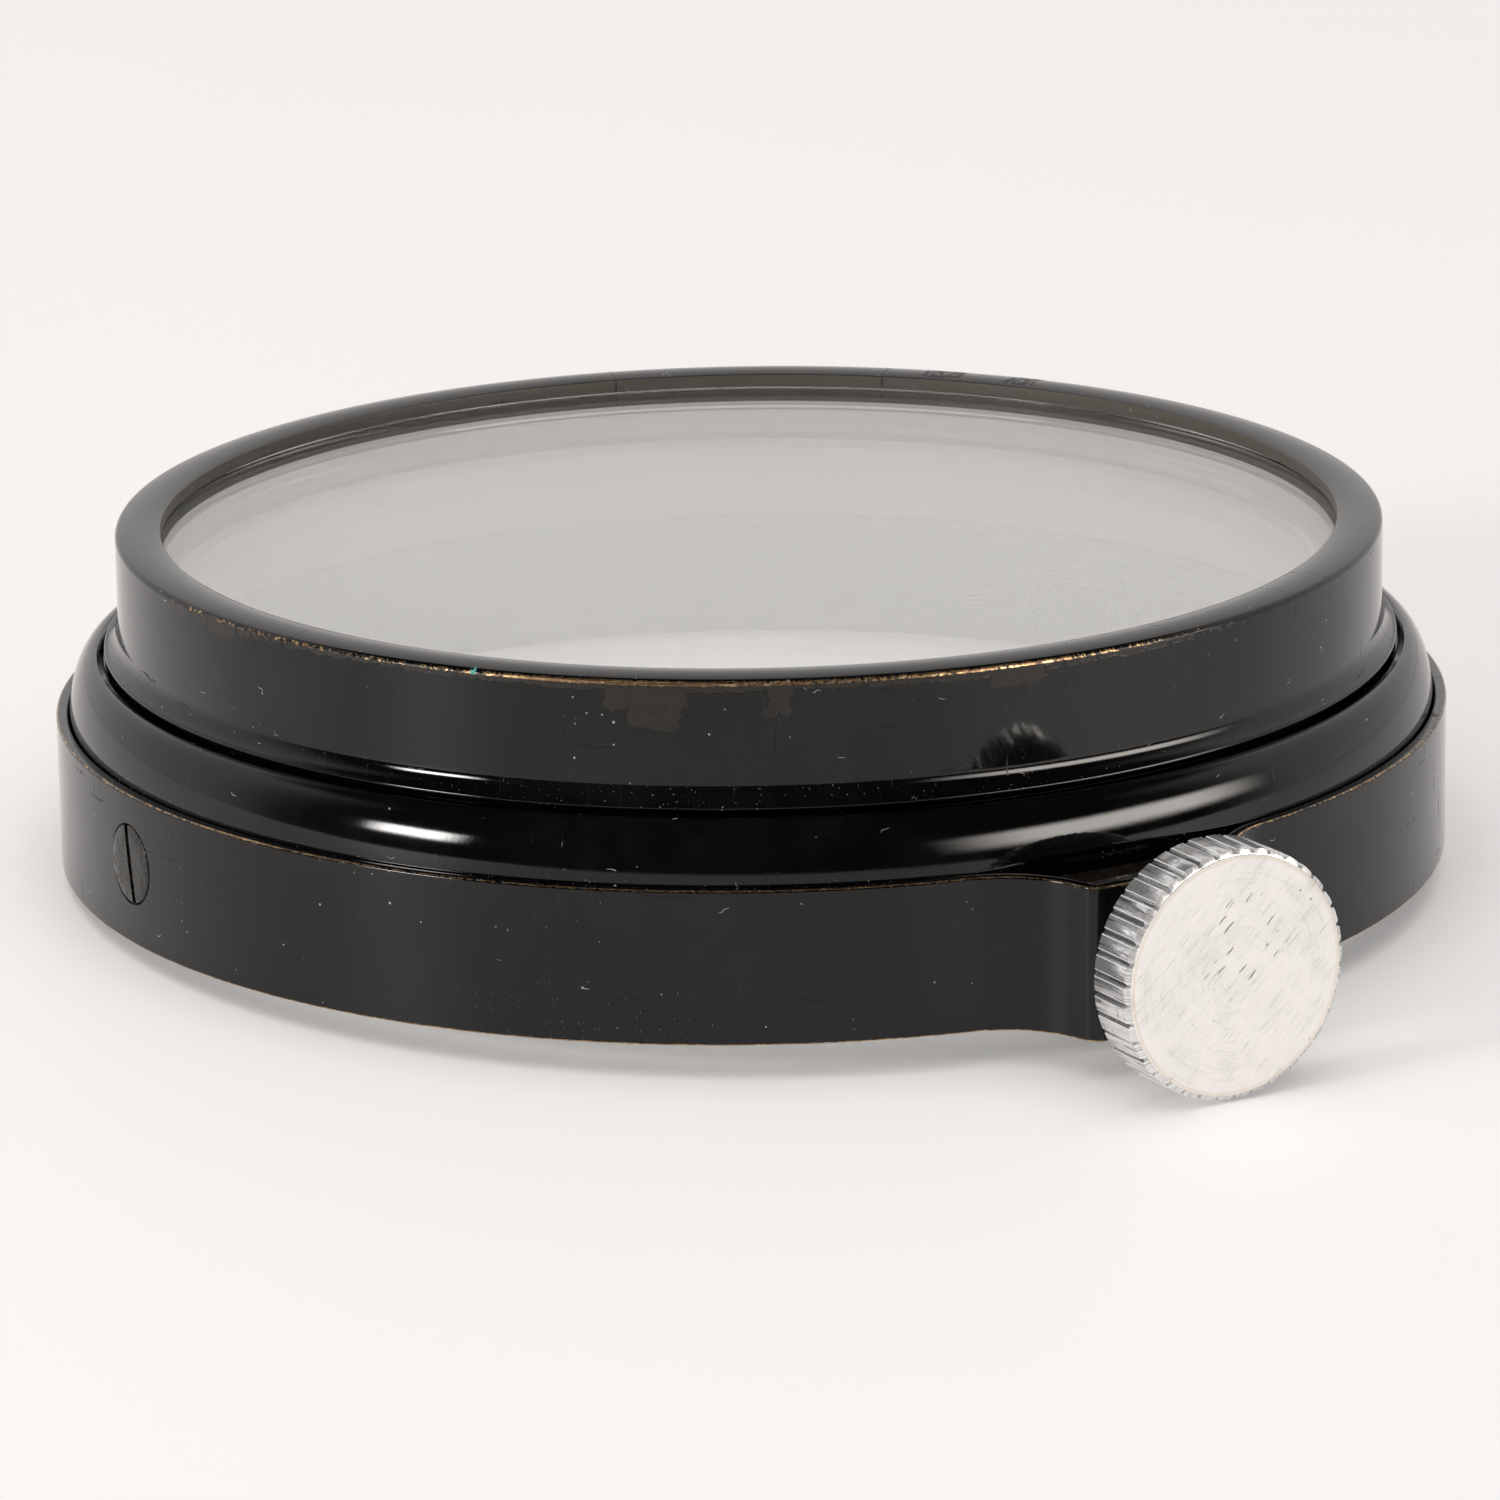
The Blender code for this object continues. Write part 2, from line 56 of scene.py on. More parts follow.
# The CAD model's driving dimensions, with those of rounds, teeth and threads that it leaves out
BAND_RADIUS = 35.0
BAND_THICKNESS = 0.6
BAND_HEIGHT = 7.54
BAND_EDGE_ROUND = 0.14
CELL_RADIUS = 31.75
LIP_CORNER = 16.45
LIP_CORNER_ROUND = 0.3
LIP_CROWN_ROUND = 4.0
WALL_FOOT = 11.8
COVE_ROUND = 1.15
BEAD_FOOT = 10.6
BEAD_ROUND = 0.15
GLASS_RADIUS = 30.0
GLASS_TOP = 16.0
GLASS_THICKNESS = 1.3
FILM_THICKNESS = 0.2
BINDING_THICKNESS = 0.2
SKIRT_BORE = 32.3
LINING_THICKNESS = 0.6
FELT_BOTTOM = 0.7
FELT_TOP = 6.0
SPIGOT_RADIUS = 31.3
SPIGOT_FOOT = 6.6
LIP_INNER = 29.5
SHOULDER_CREST = 32.9
SHOULDER_TOP = 10.45
SHOULDER_FOOT = 7.1
GASKET_INNER = 28.4
GASKET_THICKNESS = 0.6
RETAINER_INNER = 28.2
RETAINER_THICKNESS = 1.6
SPANNER_SLOT_WIDTH = 1.6
SPANNER_SLOT_DEPTH = 0.8

SCREW_HEIGHT = 4.03
POCKET_REACH = 38.6
POCKET_FACE_HALF = 4.2
POCKET_ROOT_HALF = 5.5
POCKET_ROOT_ROUND = 5.0
POCKET_CORNER_ROUND = 1.0
KNOB_RADIUS = 6.06
KNOB_BACK = 41.0
KNOB_FACE = 44.0
KNOB_TEETH = 38
KNOB_GROOVE_DEPTH = 0.17
KNOB_GROOVE_SHARE = 0.32
KNOB_FACE_RADIUS = 5.72
SHANK_RADIUS = 1.5
SHANK_NECK = 0.9
SHANK_GRIP = 1.8
BUTTON_START = 33.3
BUTTON_END = 34.0
THREAD_PITCH = 0.5
THREAD_DEPTH = 0.27
SHOE_HALF_WIDTH = 4.0
SHOE_OUTER = 34.9
SHOE_BOTTOM = 0.4
SHOE_TOP = 6.6
BLOCK_INNER = 36.2
BLOCK_HALF_WIDTH = 3.4
BLOCK_TOP = 7.1
BLOCK_BOTTOM = 0.9
RIVET_OFFSET = 2.55
RIVET_RADIUS = 0.45
SCREW_HEAD_RADIUS = 1.95
SCREW_SHANK_RADIUS = 0.9
SCREW_SLOT_WIDTH = 0.35
SCREW_SLOT_DEPTH = 0.45
SCREW_TIP = 32.45

# Each band screw's angle about +Z from +X and its slot's lean, in degrees
BAND_SCREWS = {"left": (180.0, 10.0), "back": (90.0, -28.0), "right": (0.0, 47.0)}

BAND_INNER = BAND_RADIUS - BAND_THICKNESS
CELL_BORE = GLASS_RADIUS + 2 * GAP + BINDING_THICKNESS
GLASS_FLOOR = GLASS_TOP - GLASS_THICKNESS
FILM_TOP = GLASS_FLOOR - GAP
REAR_TOP = FILM_TOP - FILM_THICKNESS - GAP
REAR_FLOOR = REAR_TOP - GLASS_THICKNESS
LINING_INNER = SKIRT_BORE - GAP - LINING_THICKNESS
POCKET_INNER = POCKET_REACH - BAND_THICKNESS

# How finely the meshes follow the curves
RING_STEPS = 288
SMALL_STEPS = 64
SHARP_ANGLE = math.radians(32)

# The camera: where it stands as seen from the object, its roll, its lens and the point it aims at
CAMERA_AZIMUTH = -30.2
CAMERA_ELEVATION = 16.68
CAMERA_ROLL = -0.875
CAMERA_DISTANCE = 400.0
CAMERA_LENS = 188.97
AIM_HEIGHT = 4.23
AIM_SIDE = -0.1

# The stage: how far in a softbox fades, the table's glow and its reach in metres, the room's colours
SOFTBOX_FADE = 0.35
TABLE_GLOW = 0.22
TABLE_REACH = 2.5
ROOM_DARK = (0.020, 0.019, 0.019, 1.0)
ROOM_WHITE = (0.87, 0.842, 0.825, 1.0)
ROOM_FILL = (0.26, 0.256, 0.252, 1.0)
BACKDROP_WHITE = (0.93, 0.90, 0.875, 1.0)


# Mesh making


def arc(centre, radii, start, end, steps):
    """Points on an ellipse's arc, its angles in degrees."""
    turns = (math.radians(start + (end - start) * i / steps) for i in range(steps + 1))
    return [(centre[0] + radii[0] * math.cos(a), centre[1] + radii[1] * math.sin(a)) for a in turns]


def soften(points, radius, steps=3, least_turn=25.0):
    """Rounds the corners of a closed outline that turn by more than least_turn degrees."""
    made = []
    for i, here in enumerate(points):
        before, after = Vector(points[i - 1]), Vector(points[(i + 1) % len(points)])
        corner = Vector(here)
        back, on = before - corner, after - corner
        turn = 180.0 - math.degrees(back.angle(on))
        if turn < least_turn:
            made.append(tuple(corner))
            continue
        reach = min(radius * math.tan(math.radians(turn / 2)), 0.45 * back.length, 0.45 * on.length)
        start, end = corner + back.normalized() * reach, corner + on.normalized() * reach
        for k in range(steps + 1):
            t = k / steps
            made.append(tuple(start * (1 - t) ** 2 + corner * 2 * t * (1 - t) + end * t**2))
    return made


def bake_modifiers(obj):
    """Turns the piece as its modifiers show it into its mesh."""
    bpy.context.view_layer.update()
    seen = obj.evaluated_get(bpy.context.evaluated_depsgraph_get())
    mesh = bpy.data.meshes.new_from_object(seen)
    obj.modifiers.clear()
    obj.data = mesh


def shade(obj):
    """Smooth shading whose normals follow the large faces, so that flats beside rounds stay flat."""
    obj.data.shade_smooth()
    obj.data.set_sharp_from_angle(angle=SHARP_ANGLE)
    weighted = obj.modifiers.new("normals", "WEIGHTED_NORMAL")
    weighted.keep_sharp = True
    bake_modifiers(obj)


def put_in_scene(name, data):
    obj = bpy.data.objects.new(name, data)
    bpy.context.scene.collection.objects.link(obj)
    return obj


def object_from(name, bm):
    bmesh.ops.recalc_face_normals(bm, faces=bm.faces)
    bmesh.ops.scale(bm, vec=(MM, MM, MM), verts=bm.verts)
    mesh = bpy.data.meshes.new(name)
    bm.to_mesh(mesh)
    bm.free()
    return put_in_scene(name, mesh)


def loft(name, rings, looped=False):
    """A solid through rings of points. A ring of one point is a tip; looped joins last to first."""
    bm = bmesh.new()
    rows = [[bm.verts.new(point) for point in ring] for ring in rings]
    pairs = list(zip(rows, rows[1:]))
    if looped:
        pairs.append((rows[-1], rows[0]))
    for low, high in pairs:
        count = max(len(low), len(high))
        for i in range(count):
            j = (i + 1) % count
            if len(low) == 1:
                bm.faces.new((low[0], high[j], high[i]))
            elif len(high) == 1:
                bm.faces.new((low[i], low[j], high[0]))
            else:
                bm.faces.new((low[i], low[j], high[j], high[i]))
    if not looped:
        for row in (rows[0], rows[-1]):
            if len(row) > 1:
                bm.faces.new(row)
    return object_from(name, bm)


def circle(radius, height, steps):
    if radius < 1e-6:
        return [(0.0, 0.0, height)]
    turns = (2 * math.pi * (i + 0.5) / steps for i in range(steps))
    return [(radius * math.cos(a), radius * math.sin(a), height) for a in turns]


def turned(name, profile, steps=RING_STEPS, looped=True):
    """Turns (radius, height) points about +Z: a ring where looped, or else a pin or disc."""
    return loft(name, [circle(r, z, steps) for r, z in profile], looped)


def square_ring(name, inner, outer, low, high, edge):
    """A turned ring of rectangular section, its corners rounded by edge."""
    return turned(name, soften([(inner, low), (outer, low), (outer, high), (inner, high)], edge))


def pin(name, profile, angle, steps=SMALL_STEPS, side=0.0):
    """A turned piece whose (radius, reach) profile stands out along a radius of the ring."""
    obj = turned(name, profile, steps, looped=False)
    stand_out(obj, angle, side)
    return obj


def stand_out(obj, angle, side=0.0):
    """Lays a piece that was built along +Z outwards at the screws' height, shifted sideways along X."""
    turn = Matrix.Rotation(math.radians(angle), 4, "Z") @ Matrix.Rotation(math.pi / 2, 4, "Y")
    obj.data.transform(Matrix.Translation((side * MM, 0.0, SCREW_HEIGHT * MM)) @ turn)


def box_between(name, x, y, z):
    corners = [(x[0], y[0]), (x[1], y[0]), (x[1], y[1]), (x[0], y[1])]
    return loft(name, [[(cx, cy, height) for cx, cy in corners] for height in z])


def cut(obj, cutters):
    """Cuts the cutters out of the piece for good, and removes them."""
    for cutter in cutters:
        boolean = obj.modifiers.new(cutter.name, "BOOLEAN")
        boolean.operation = "DIFFERENCE"
        boolean.solver = "EXACT"
        boolean.object = cutter
    bake_modifiers(obj)
    for cutter in cutters:
        bpy.data.objects.remove(cutter, do_unlink=True)


def finish_piece(obj, look, slot, body, *nodes):
    """Gives the piece its material, and lets it stand for its CAD nodes on their body. Its slot is not used.
    """
    shade(obj)
    obj.data.materials.clear()
    obj.data.materials.append(look)
    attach(obj, body)
    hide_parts(*nodes)
    return obj


# Material making


def put(tree, value, socket):
    """Links the value to the socket where it is another node's output, or else sets it."""
    if isinstance(value, bpy.types.NodeSocket):
        tree.links.new(value, socket)
    else:
        socket.default_value = value


def add_node(tree, kind, *inputs, **settings):
    """Adds a node with these settings, and puts the inputs into its first sockets."""
    made = tree.nodes.new(kind)
    for key, value in settings.items():
        setattr(made, key, value)
    for value, socket in zip(inputs, made.inputs):
        put(tree, value, socket)
    return made


class Look:
    """One material. Most methods add nodes and return an output. Places are in millimetres."""

    def __init__(self, name, colour, roughness, metallic=0.0, **sockets):
        self.material = bpy.data.materials.new(name)
        self.material.use_nodes = True
        self.tree = self.material.node_tree
        self.shader = self.tree.nodes["Principled BSDF"]
        self.relief = []
        self.set(Base_Color=(*colour, 1.0), Roughness=roughness, Metallic=metallic, **sockets)
        where = self.tree.nodes.new("ShaderNodeTexCoord")
        scaled = self.node("ShaderNodeVectorMath", operation="SCALE")
        self.put(where.outputs["Object"], scaled.inputs[0])
        scaled.inputs["Scale"].default_value = 1 / MM
        self.place = scaled.outputs[0]
        self.x, self.y, self.z = self.node("ShaderNodeSeparateXYZ", self.place).outputs
        self.radius = self.math("SQRT", self.add(self.square(self.x), self.square(self.y)))
        facing = self.node("ShaderNodeSeparateXYZ", where.outputs["Normal"])
        out = self.add(self.times(facing.outputs[0], self.x), self.times(facing.outputs[1], self.y))
        self.outward = self.math("DIVIDE", out, self.most(self.radius, 1.0))

    def node(self, kind, *inputs, **settings):
        return add_node(self.tree, kind, *inputs, **settings)

    def put(self, value, socket):
        put(self.tree, value, socket)

    def set(self, **sockets):
        """Sets or links the shader's sockets, whose names have _ for a space."""
        for key, value in sockets.items():
            self.put(value, self.shader.inputs[key.replace("_", " ")])

    def math(self, operation, *values):
        return self.node("ShaderNodeMath", *values, operation=operation).outputs[0]

    def chain(self, operation, values):
        total = values[0]
        for value in values[1:]:
            total = self.math(operation, total, value)
        return total

    def add(self, *values):
        return self.chain("ADD", values)

    def times(self, *values):
        return self.chain("MULTIPLY", values)

    def most(self, *values):
        return self.chain("MAXIMUM", values)

    def less(self, first, second):
        return self.math("SUBTRACT", first, second)

    def square(self, value):
        return self.math("MULTIPLY", value, value)

    def rise(self, value, low, high):
        """0 below low and 1 above high, smoothly; it falls instead where low is above high."""
        limits = (value, low, high, 0.0, 1.0)
        return self.node("ShaderNodeMapRange", *limits, interpolation_type="SMOOTHSTEP").outputs[0]

    def spread(self, value, low, high):
        """The middle part of a noise, 0.3 to 0.7, stretched to run from low to high."""
        return self.node("ShaderNodeMapRange", value, 0.3, 0.7, low, high).outputs[0]

    def within(self, value, centre, half, soft):
        """1 within half of the centre, falling to 0 over the soft distance outside it."""
        away = self.math("ABSOLUTE", self.less(value, centre))
        return self.rise(away, half + soft, half)

    def vector(self, x, y, z=0.0):
        return self.node("ShaderNodeCombineXYZ", x, y, z).outputs[0]

    def shifted(self, at, shift):
        """Moves the place that a pattern is read at, so that two patterns of a kind differ."""
        by = (17.3 * shift, 5.9 * shift, 9.7 * shift)
        return self.node("ShaderNodeVectorMath", at or self.place, by, operation="ADD").outputs[0]

    def noise(self, size, detail=2.0, rough=0.5, at=None, shift=0.0):
        """Noise from 0 to 1 whose features are about size millimetres across."""
        made = self.node("ShaderNodeTexNoise")
        self.put(self.shifted(at, shift), made.inputs["Vector"])
        self.put(1 / size, made.inputs["Scale"])
        self.put(detail, made.inputs["Detail"])
        self.put(rough, made.inputs["Roughness"])
        return made.outputs["Fac"]

    def cells(self, size, at=None, shift=0.0, flat=False):
        """Distance from each cell's own point in cell sizes, and three random numbers for the cell."""
        made = self.node("ShaderNodeTexVoronoi", voronoi_dimensions="2D" if flat else "3D")
        self.put(self.shifted(at, shift), made.inputs["Vector"])
        self.put(1 / size, made.inputs["Scale"])
        split = self.node("ShaderNodeSeparateColor", made.outputs["Color"])
        return made.outputs["Distance"], split.outputs

    def specks(self, cell, share, size, shift=0.0):
        """Specks: about this share of the cells holds one, each up to size of a cell across."""
        distance, draw = self.cells(cell, shift=shift)
        inside = self.math("LESS_THAN", distance, self.times(self.square(draw[1]), size))
        return self.times(inside, self.math("LESS_THAN", draw[0], share))

    def strokes(self, along, across, length, width, share, shift=0.0, bend=0.0):
        """Strokes of up to length by width along one direction, bent sideways by bend millimetres."""
        if bend:
            across = self.add(across, self.times(self.noise(length, 1.0, shift=shift), bend))
        at = self.vector(self.times(along, 1 / length), self.times(across, 1 / width))
        distance, draw = self.cells(1.0, at, shift, flat=True)
        reach = self.times(draw[1], 0.5)
        return self.times(self.math("LESS_THAN", distance, reach), self.math("LESS_THAN", draw[0], share))

    def mix(self, share, first, second):
        """first where share is 0 and second where it is 1, for colours."""
        made = self.node("ShaderNodeMix", data_type="RGBA", clamp_factor=True)
        self.put(share, made.inputs[0])
        for value, place in ((first, 6), (second, 7)):
            self.put(value if isinstance(value, bpy.types.NodeSocket) else (*value, 1.0), made.inputs[place])
        return made.outputs[2]

    def blend(self, share, first, second):
        """first where share is 0 and second where it is 1, for numbers."""
        made = self.node("ShaderNodeMix", data_type="FLOAT", clamp_factor=True)
        for value, place in ((share, 0), (first, 2), (second, 3)):
            self.put(value, made.inputs[place])
        return made.outputs[0]

    def bump(self, height, depth):
        """Relief of depth millimetres where height runs from 0 to 1. Calls add up."""
        self.relief.append(self.times(height, depth))

    def finish(self):
        made = self.node("ShaderNodeBump")
        made.inputs["Strength"].default_value = 1.0
        made.inputs["Distance"].default_value = MM
        self.put(self.add(*self.relief), made.inputs["Height"])
        self.put(made.outputs[0], self.shader.inputs["Normal"])
        return self.material


BARE_BRASS = (0.56, 0.39, 0.20)
DULL_BRASS = (0.30, 0.18, 0.10)
THIN_LACQUER = (0.026, 0.0205, 0.014)
LACQUER_BLACK = (0.0018, 0.0018, 0.0021)
HAZY_BLACK = (0.0050, 0.0049, 0.0050)
DUST = (0.40, 0.385, 0.36)
VERDIGRIS = (0.10, 0.40, 0.34)


def around(look):
    """Length along the ring's side in millimetres from the thumbscrew, growing towards +X."""
    angle = look.math("ARCTAN2", look.x, look.times(look.y, -1.0))
    return look.times(angle, BAND_RADIUS)


class Wear:
    """Where a lacquered piece is worn and dirty, as masks from 0 to 1 made from its own look."""

    def __init__(self, look):
        self.look = look
        self.along = around(look)
        self.ragged = look.noise(0.55, 4.0, 0.65, shift=1.0)
        self.thin = 0.0
        self.bare = 0.0
        self.nicked = 1.0
        self.dull = 0.0
        self.grime = 0.0
        self.green = 0.0


def lacquer(name, describe):
    """Black stoving lacquer, worn where describe(wear) says: first thin and brown, then bare brass."""
    look = Look(name, LACQUER_BLACK, 0.14, IOR=1.40)
    wear = Wear(look)
    describe(wear)
    along = wear.along
    thin = look.rise(look.add(wear.thin, wear.ragged), 0.98, 1.10)
    bare = look.rise(look.add(wear.bare, look.noise(0.22, 3.0, 0.7, shift=2.0)), 0.98, 1.12)
    haze = look.noise(7.0, 5.0, 0.62, shift=3.0)
    settled = look.rise(look.noise(9.0, 2.0, shift=4.0), 0.42, 0.62)
    fine = look.specks(0.45, 0.35, 0.14, shift=5.0)
    coarse = look.specks(1.9, 0.16, 0.036, shift=6.0)
    lint = look.strokes(along, look.z, 0.6, 0.05, 0.0015, shift=7.0, bend=1.0)
    crumbs = look.times(look.specks(0.14, 0.5, 0.26, shift=8.0), wear.grime, 0.6)
    dust = look.most(look.times(fine, settled), coarse, lint, crumbs)
    upright = look.strokes(look.z, along, 2.2, 0.16, 0.016, shift=9.0, bend=0.15)
    aslant = look.add(along, look.times(look.z, 0.25))
    slanting = look.strokes(aslant, look.z, 2.6, 0.20, 0.018, shift=10.0, bend=0.3)
    hairline = look.strokes(look.z, look.add(along, look.times(look.z, 0.2)), 4.0, 0.05, 0.012, shift=11.0)
    broken = look.times(look.rise(look.noise(0.3, 2.0, shift=12.0), 0.38, 0.5), wear.nicked)
    nicks = look.times(look.most(upright, slanting), broken)
    colour = look.mix(look.rise(haze, 0.42, 0.72), LACQUER_BLACK, HAZY_BLACK)
    colour = look.mix(look.times(hairline, 0.3, wear.nicked), colour, (0.03, 0.03, 0.03))
    colour = look.mix(look.times(wear.dull, 0.8), colour, (0.095, 0.081, 0.066))
    colour = look.mix(nicks, colour, (0.0012, 0.0012, 0.0012))
    film = look.noise(0.8, 4.0, 0.7, shift=13.0)
    colour = look.mix(look.times(thin, look.spread(film, 0.5, 1.0)), colour, THIN_LACQUER)
    colour = look.mix(bare, colour, look.mix(look.rise(film, 0.42, 0.6), DULL_BRASS, BARE_BRASS))
    colour = look.mix(wear.green, colour, VERDIGRIS)
    dull = look.most(dust, wear.green)
    colour = look.mix(dust, colour, DUST)
    rough = look.blend(wear.dull, look.spread(haze, 0.055, 0.10), 0.5)
    rough = look.blend(thin, rough, 0.40)
    rough = look.blend(bare, rough, look.spread(film, 0.40, 0.24))
    rough = look.blend(look.most(dull, look.times(nicks, 0.5)), rough, 0.8)
    look.set(Base_Color=colour, Roughness=rough, Metallic=look.times(bare, look.less(1.0, dull)))
    look.bump(look.noise(3.2, 2.0, 0.4, shift=14.0), 0.010)
    look.bump(look.noise(0.2, 2.0, 0.5, shift=15.0), 0.0010)
    look.bump(look.most(thin, look.times(nicks, 0.4)), -0.016)
    look.bump(dust, 0.012)
    return look.finish()


def cell_wear(wear):
    """The cell: its lip's corner is bare, with a brown fringe, a few chips and a speck of verdigris.

    Its foot holds dust, and inside it is dull.
    """
    look = wear.look
    side = look.rise(look.radius, CELL_RADIUS - 0.30, CELL_RADIUS - 0.12)
    inside = look.rise(look.radius, CELL_BORE + 0.1, CELL_BORE)
    wear.dull = look.times(inside, look.rise(look.outward, -0.2, -0.7))
    front = look.spread(look.noise(16.0, 1.0, shift=21.0), 0.25, 0.85)
    facing = look.within(wear.along, -22.0, 12.0, 34.0)
    wave = look.times(look.noise(1.3, 3.0, 0.6, shift=22.0), front)
    fringe = look.rise(look.add(look.z, wave), LIP_CORNER - 0.10, LIP_CORNER + 0.12)
    top = look.rise(look.z, LIP_CORNER + 0.30, LIP_CORNER + 0.05)
    wear.thin = look.times(fringe, side, top, look.add(0.35, look.times(facing, 0.3)))
    # Each chip's place along the side, half its width, and how far it hangs down
    chips = ((-23.4, 1.1, 2.3), (-23.9, 1.9, 1.3), (-17.1, 0.35, 1.6), (-4.2, 1.3, 0.9), (-51.0, 1.2, 0.6))
    for centre, half, drop in chips:
        edge = look.noise(0.8, 4.0, 0.7, shift=23.0 + centre)
        across = look.within(look.add(wear.along, look.times(edge, 1.6)), centre + 0.8, half, 0.5)
        bottom = LIP_CORNER - drop
        down = look.rise(look.add(look.z, look.times(edge, 1.2)), bottom + 0.5, bottom + 0.9)
        wear.thin = look.most(wear.thin, look.times(across, down, top, side, 0.85))
    corner = look.within(look.z, LIP_CORNER + 0.12, 0.05, 0.16)
    wear.bare = look.times(corner, side, look.add(0.26, look.times(facing, front, 0.55)))
    foot = look.rise(look.z, WALL_FOOT + 1.2, BEAD_FOOT - 0.2)
    heap = look.within(wear.along, -14.0, 7.0, 16.0)
    patchy = look.rise(look.noise(2.4, 3.0, shift=24.0), 0.35, 0.6)
    wear.grime = look.times(foot, look.add(0.25, heap), patchy)
    on_lip = look.within(look.z, LIP_CORNER + 0.16, 0.08, 0.10)
    spot = look.times(look.within(wear.along, -33.2, 0.07, 0.14), on_lip)
    wear.green = look.times(spot, look.rise(look.noise(0.25, 3.0, shift=25.0), 0.35, 0.5))


def collar_wear(wear):
    """The collar: dust lies on its ledge and in the groove above the band, and its rim is rubbed."""
    look = wear.look
    wear.thin = look.times(look.within(look.z, 0.0, 0.1, 0.2), 0.3)
    wear.nicked = 0.15
    ledge = look.times(look.rise(look.z, 10.0, 10.3), look.rise(look.radius, 33.3, 32.6))
    groove = look.times(look.within(look.z, BAND_HEIGHT + 0.1, 0.12, 0.2), 0.8)
    heap = look.spread(look.noise(6.0, 2.0, shift=26.0), 0.0, 1.0)
    wear.grime = look.times(look.most(ledge, groove), heap)


def band_wear(wear):
    """The band: a copper line runs along both its edges, with brown below the upper one.

    Dust lies low on its left and along its top.
    """
    look = wear.look
    outer = look.rise(look.outward, 0.1, 0.4)
    stretch = look.spread(look.noise(9.0, 2.0, shift=27.0), 0.15, 1.0)
    top = look.within(look.z, BAND_HEIGHT, 0.03, 0.13)
    foot = look.within(look.z, 0.0, 0.03, 0.12)
    line = look.add(look.times(top, look.add(0.46, look.times(stretch, 0.2))), look.times(foot, 0.75))
    sides = look.within(look.math("ABSOLUTE", look.x), POCKET_FACE_HALF - 0.1, 0.1, 0.35)
    corner = look.times(sides, look.rise(look.y, -POCKET_REACH + 0.5, -POCKET_REACH + 0.1), top)
    wear.bare = look.add(look.times(line, outer), look.times(corner, 0.3))
    wear.thin = look.times(look.within(look.z, BAND_HEIGHT, 0.15, 0.3), outer, stretch, 0.5)
    patch = look.times(look.within(wear.along, -27.0, 3.0, 5.0), look.rise(look.z, 4.5, 1.0))
    rim = look.times(look.rise(look.z, BAND_HEIGHT - 0.2, BAND_HEIGHT), 0.7)
    wear.grime = look.most(look.times(patch, 0.35), rim)


def screw_wear(wear):
    """The band screws: the lacquer on their faces is rubbed grey-brown."""
    look = wear.look
    wear.thin = look.add(0.40, look.times(look.noise(1.5, 3.0, shift=28.0), 0.2))
    wear.grime = 0.4


def metal(name, colour, worn, roughness, tarnish=(0.08, 0.06, 0.04)):
    """Bare or blacked metal with cloudy tarnish, fine turning grain and dust."""
    look = Look(name, colour, roughness, 1.0)
    cloud = look.noise(1.8, 5.0, 0.6)
    fine = look.noise(0.3, 3.0, 0.6, shift=2.0)
    dust = look.specks(0.6, 0.2, 0.16)
    mixed = look.mix(look.rise(cloud, 0.4, 0.7), colour, worn)
    mixed = look.mix(look.times(look.rise(fine, 0.55, 0.75), 0.5), mixed, tarnish)
    look.set(Base_Color=look.mix(dust, mixed, DUST), Metallic=look.less(1.0, dust))
    look.set(Roughness=look.spread(look.times(look.add(cloud, fine), 0.5), roughness - 0.1, roughness + 0.15))
    look.bump(fine, 0.006)
    look.bump(look.noise(0.08, 2.0, 0.6, shift=4.0), 0.002)
    return look.finish()


def dusty_block():
    """Blacked brass whose upward faces hold brown dust and lint."""
    black = (0.012, 0.011, 0.010)
    look = Look("dusty_blacked_brass", black, 0.45, 0.2)
    fluff = look.noise(0.35, 6.0, 0.7)
    lint = look.most(
        look.strokes(look.x, look.y, 1.6, 0.06, 0.3, bend=0.6),
        look.strokes(look.y, look.x, 1.2, 0.06, 0.25, shift=1.0, bend=0.6),
    )
    top = look.rise(look.z, BLOCK_TOP - 0.25, BLOCK_TOP - 0.02)
    cover = look.times(top, look.rise(fluff, 0.38, 0.65))
    dirt = look.mix(look.noise(0.9, 3.0, shift=3.0), (0.010, 0.008, 0.006), (0.030, 0.025, 0.020))
    colour = look.mix(cover, black, dirt)
    grains = look.times(look.most(look.specks(0.25, 0.35, 0.3), lint), look.add(0.15, look.times(top, 0.5)))
    look.set(Base_Color=look.mix(grains, colour, DUST), Roughness=look.blend(cover, 0.42, 0.9))
    look.bump(look.times(look.add(fluff, grains), top), 0.08)
    look.bump(look.noise(0.2, 3.0), 0.004)
    return look.finish()


def glass(name, shift):
    """Clear plate glass with faint smears, hairlines and a few dust specks. It casts no shadow."""
    clear = (0.985, 0.99, 0.985)
    look = Look(name, clear, 0.0, IOR=1.52, Transmission_Weight=1.0)
    smear = look.noise(11.0, 4.0, 0.55, shift=shift)
    slant = look.add(look.x, look.times(look.y, 0.7))
    hairs = look.strokes(slant, look.y, 4.0, 0.05, 0.006, shift=shift, bend=1.0)
    dust = look.specks(2.4, 0.15, 0.04, shift=shift + 1.0)
    marks = look.most(dust, look.times(hairs, 0.3))
    rough = look.times(look.rise(smear, 0.5, 0.8), 0.03)
    look.set(Roughness=look.blend(marks, rough, 0.6), Base_Color=look.mix(dust, clear, (0.6, 0.58, 0.55)))
    look.bump(look.noise(14.0, 1.0, shift=shift + 2.0), 0.0015)
    path = look.node("ShaderNodeLightPath")
    look.set(Alpha=look.less(1.0, path.outputs["Is Shadow Ray"]))
    return look.finish()


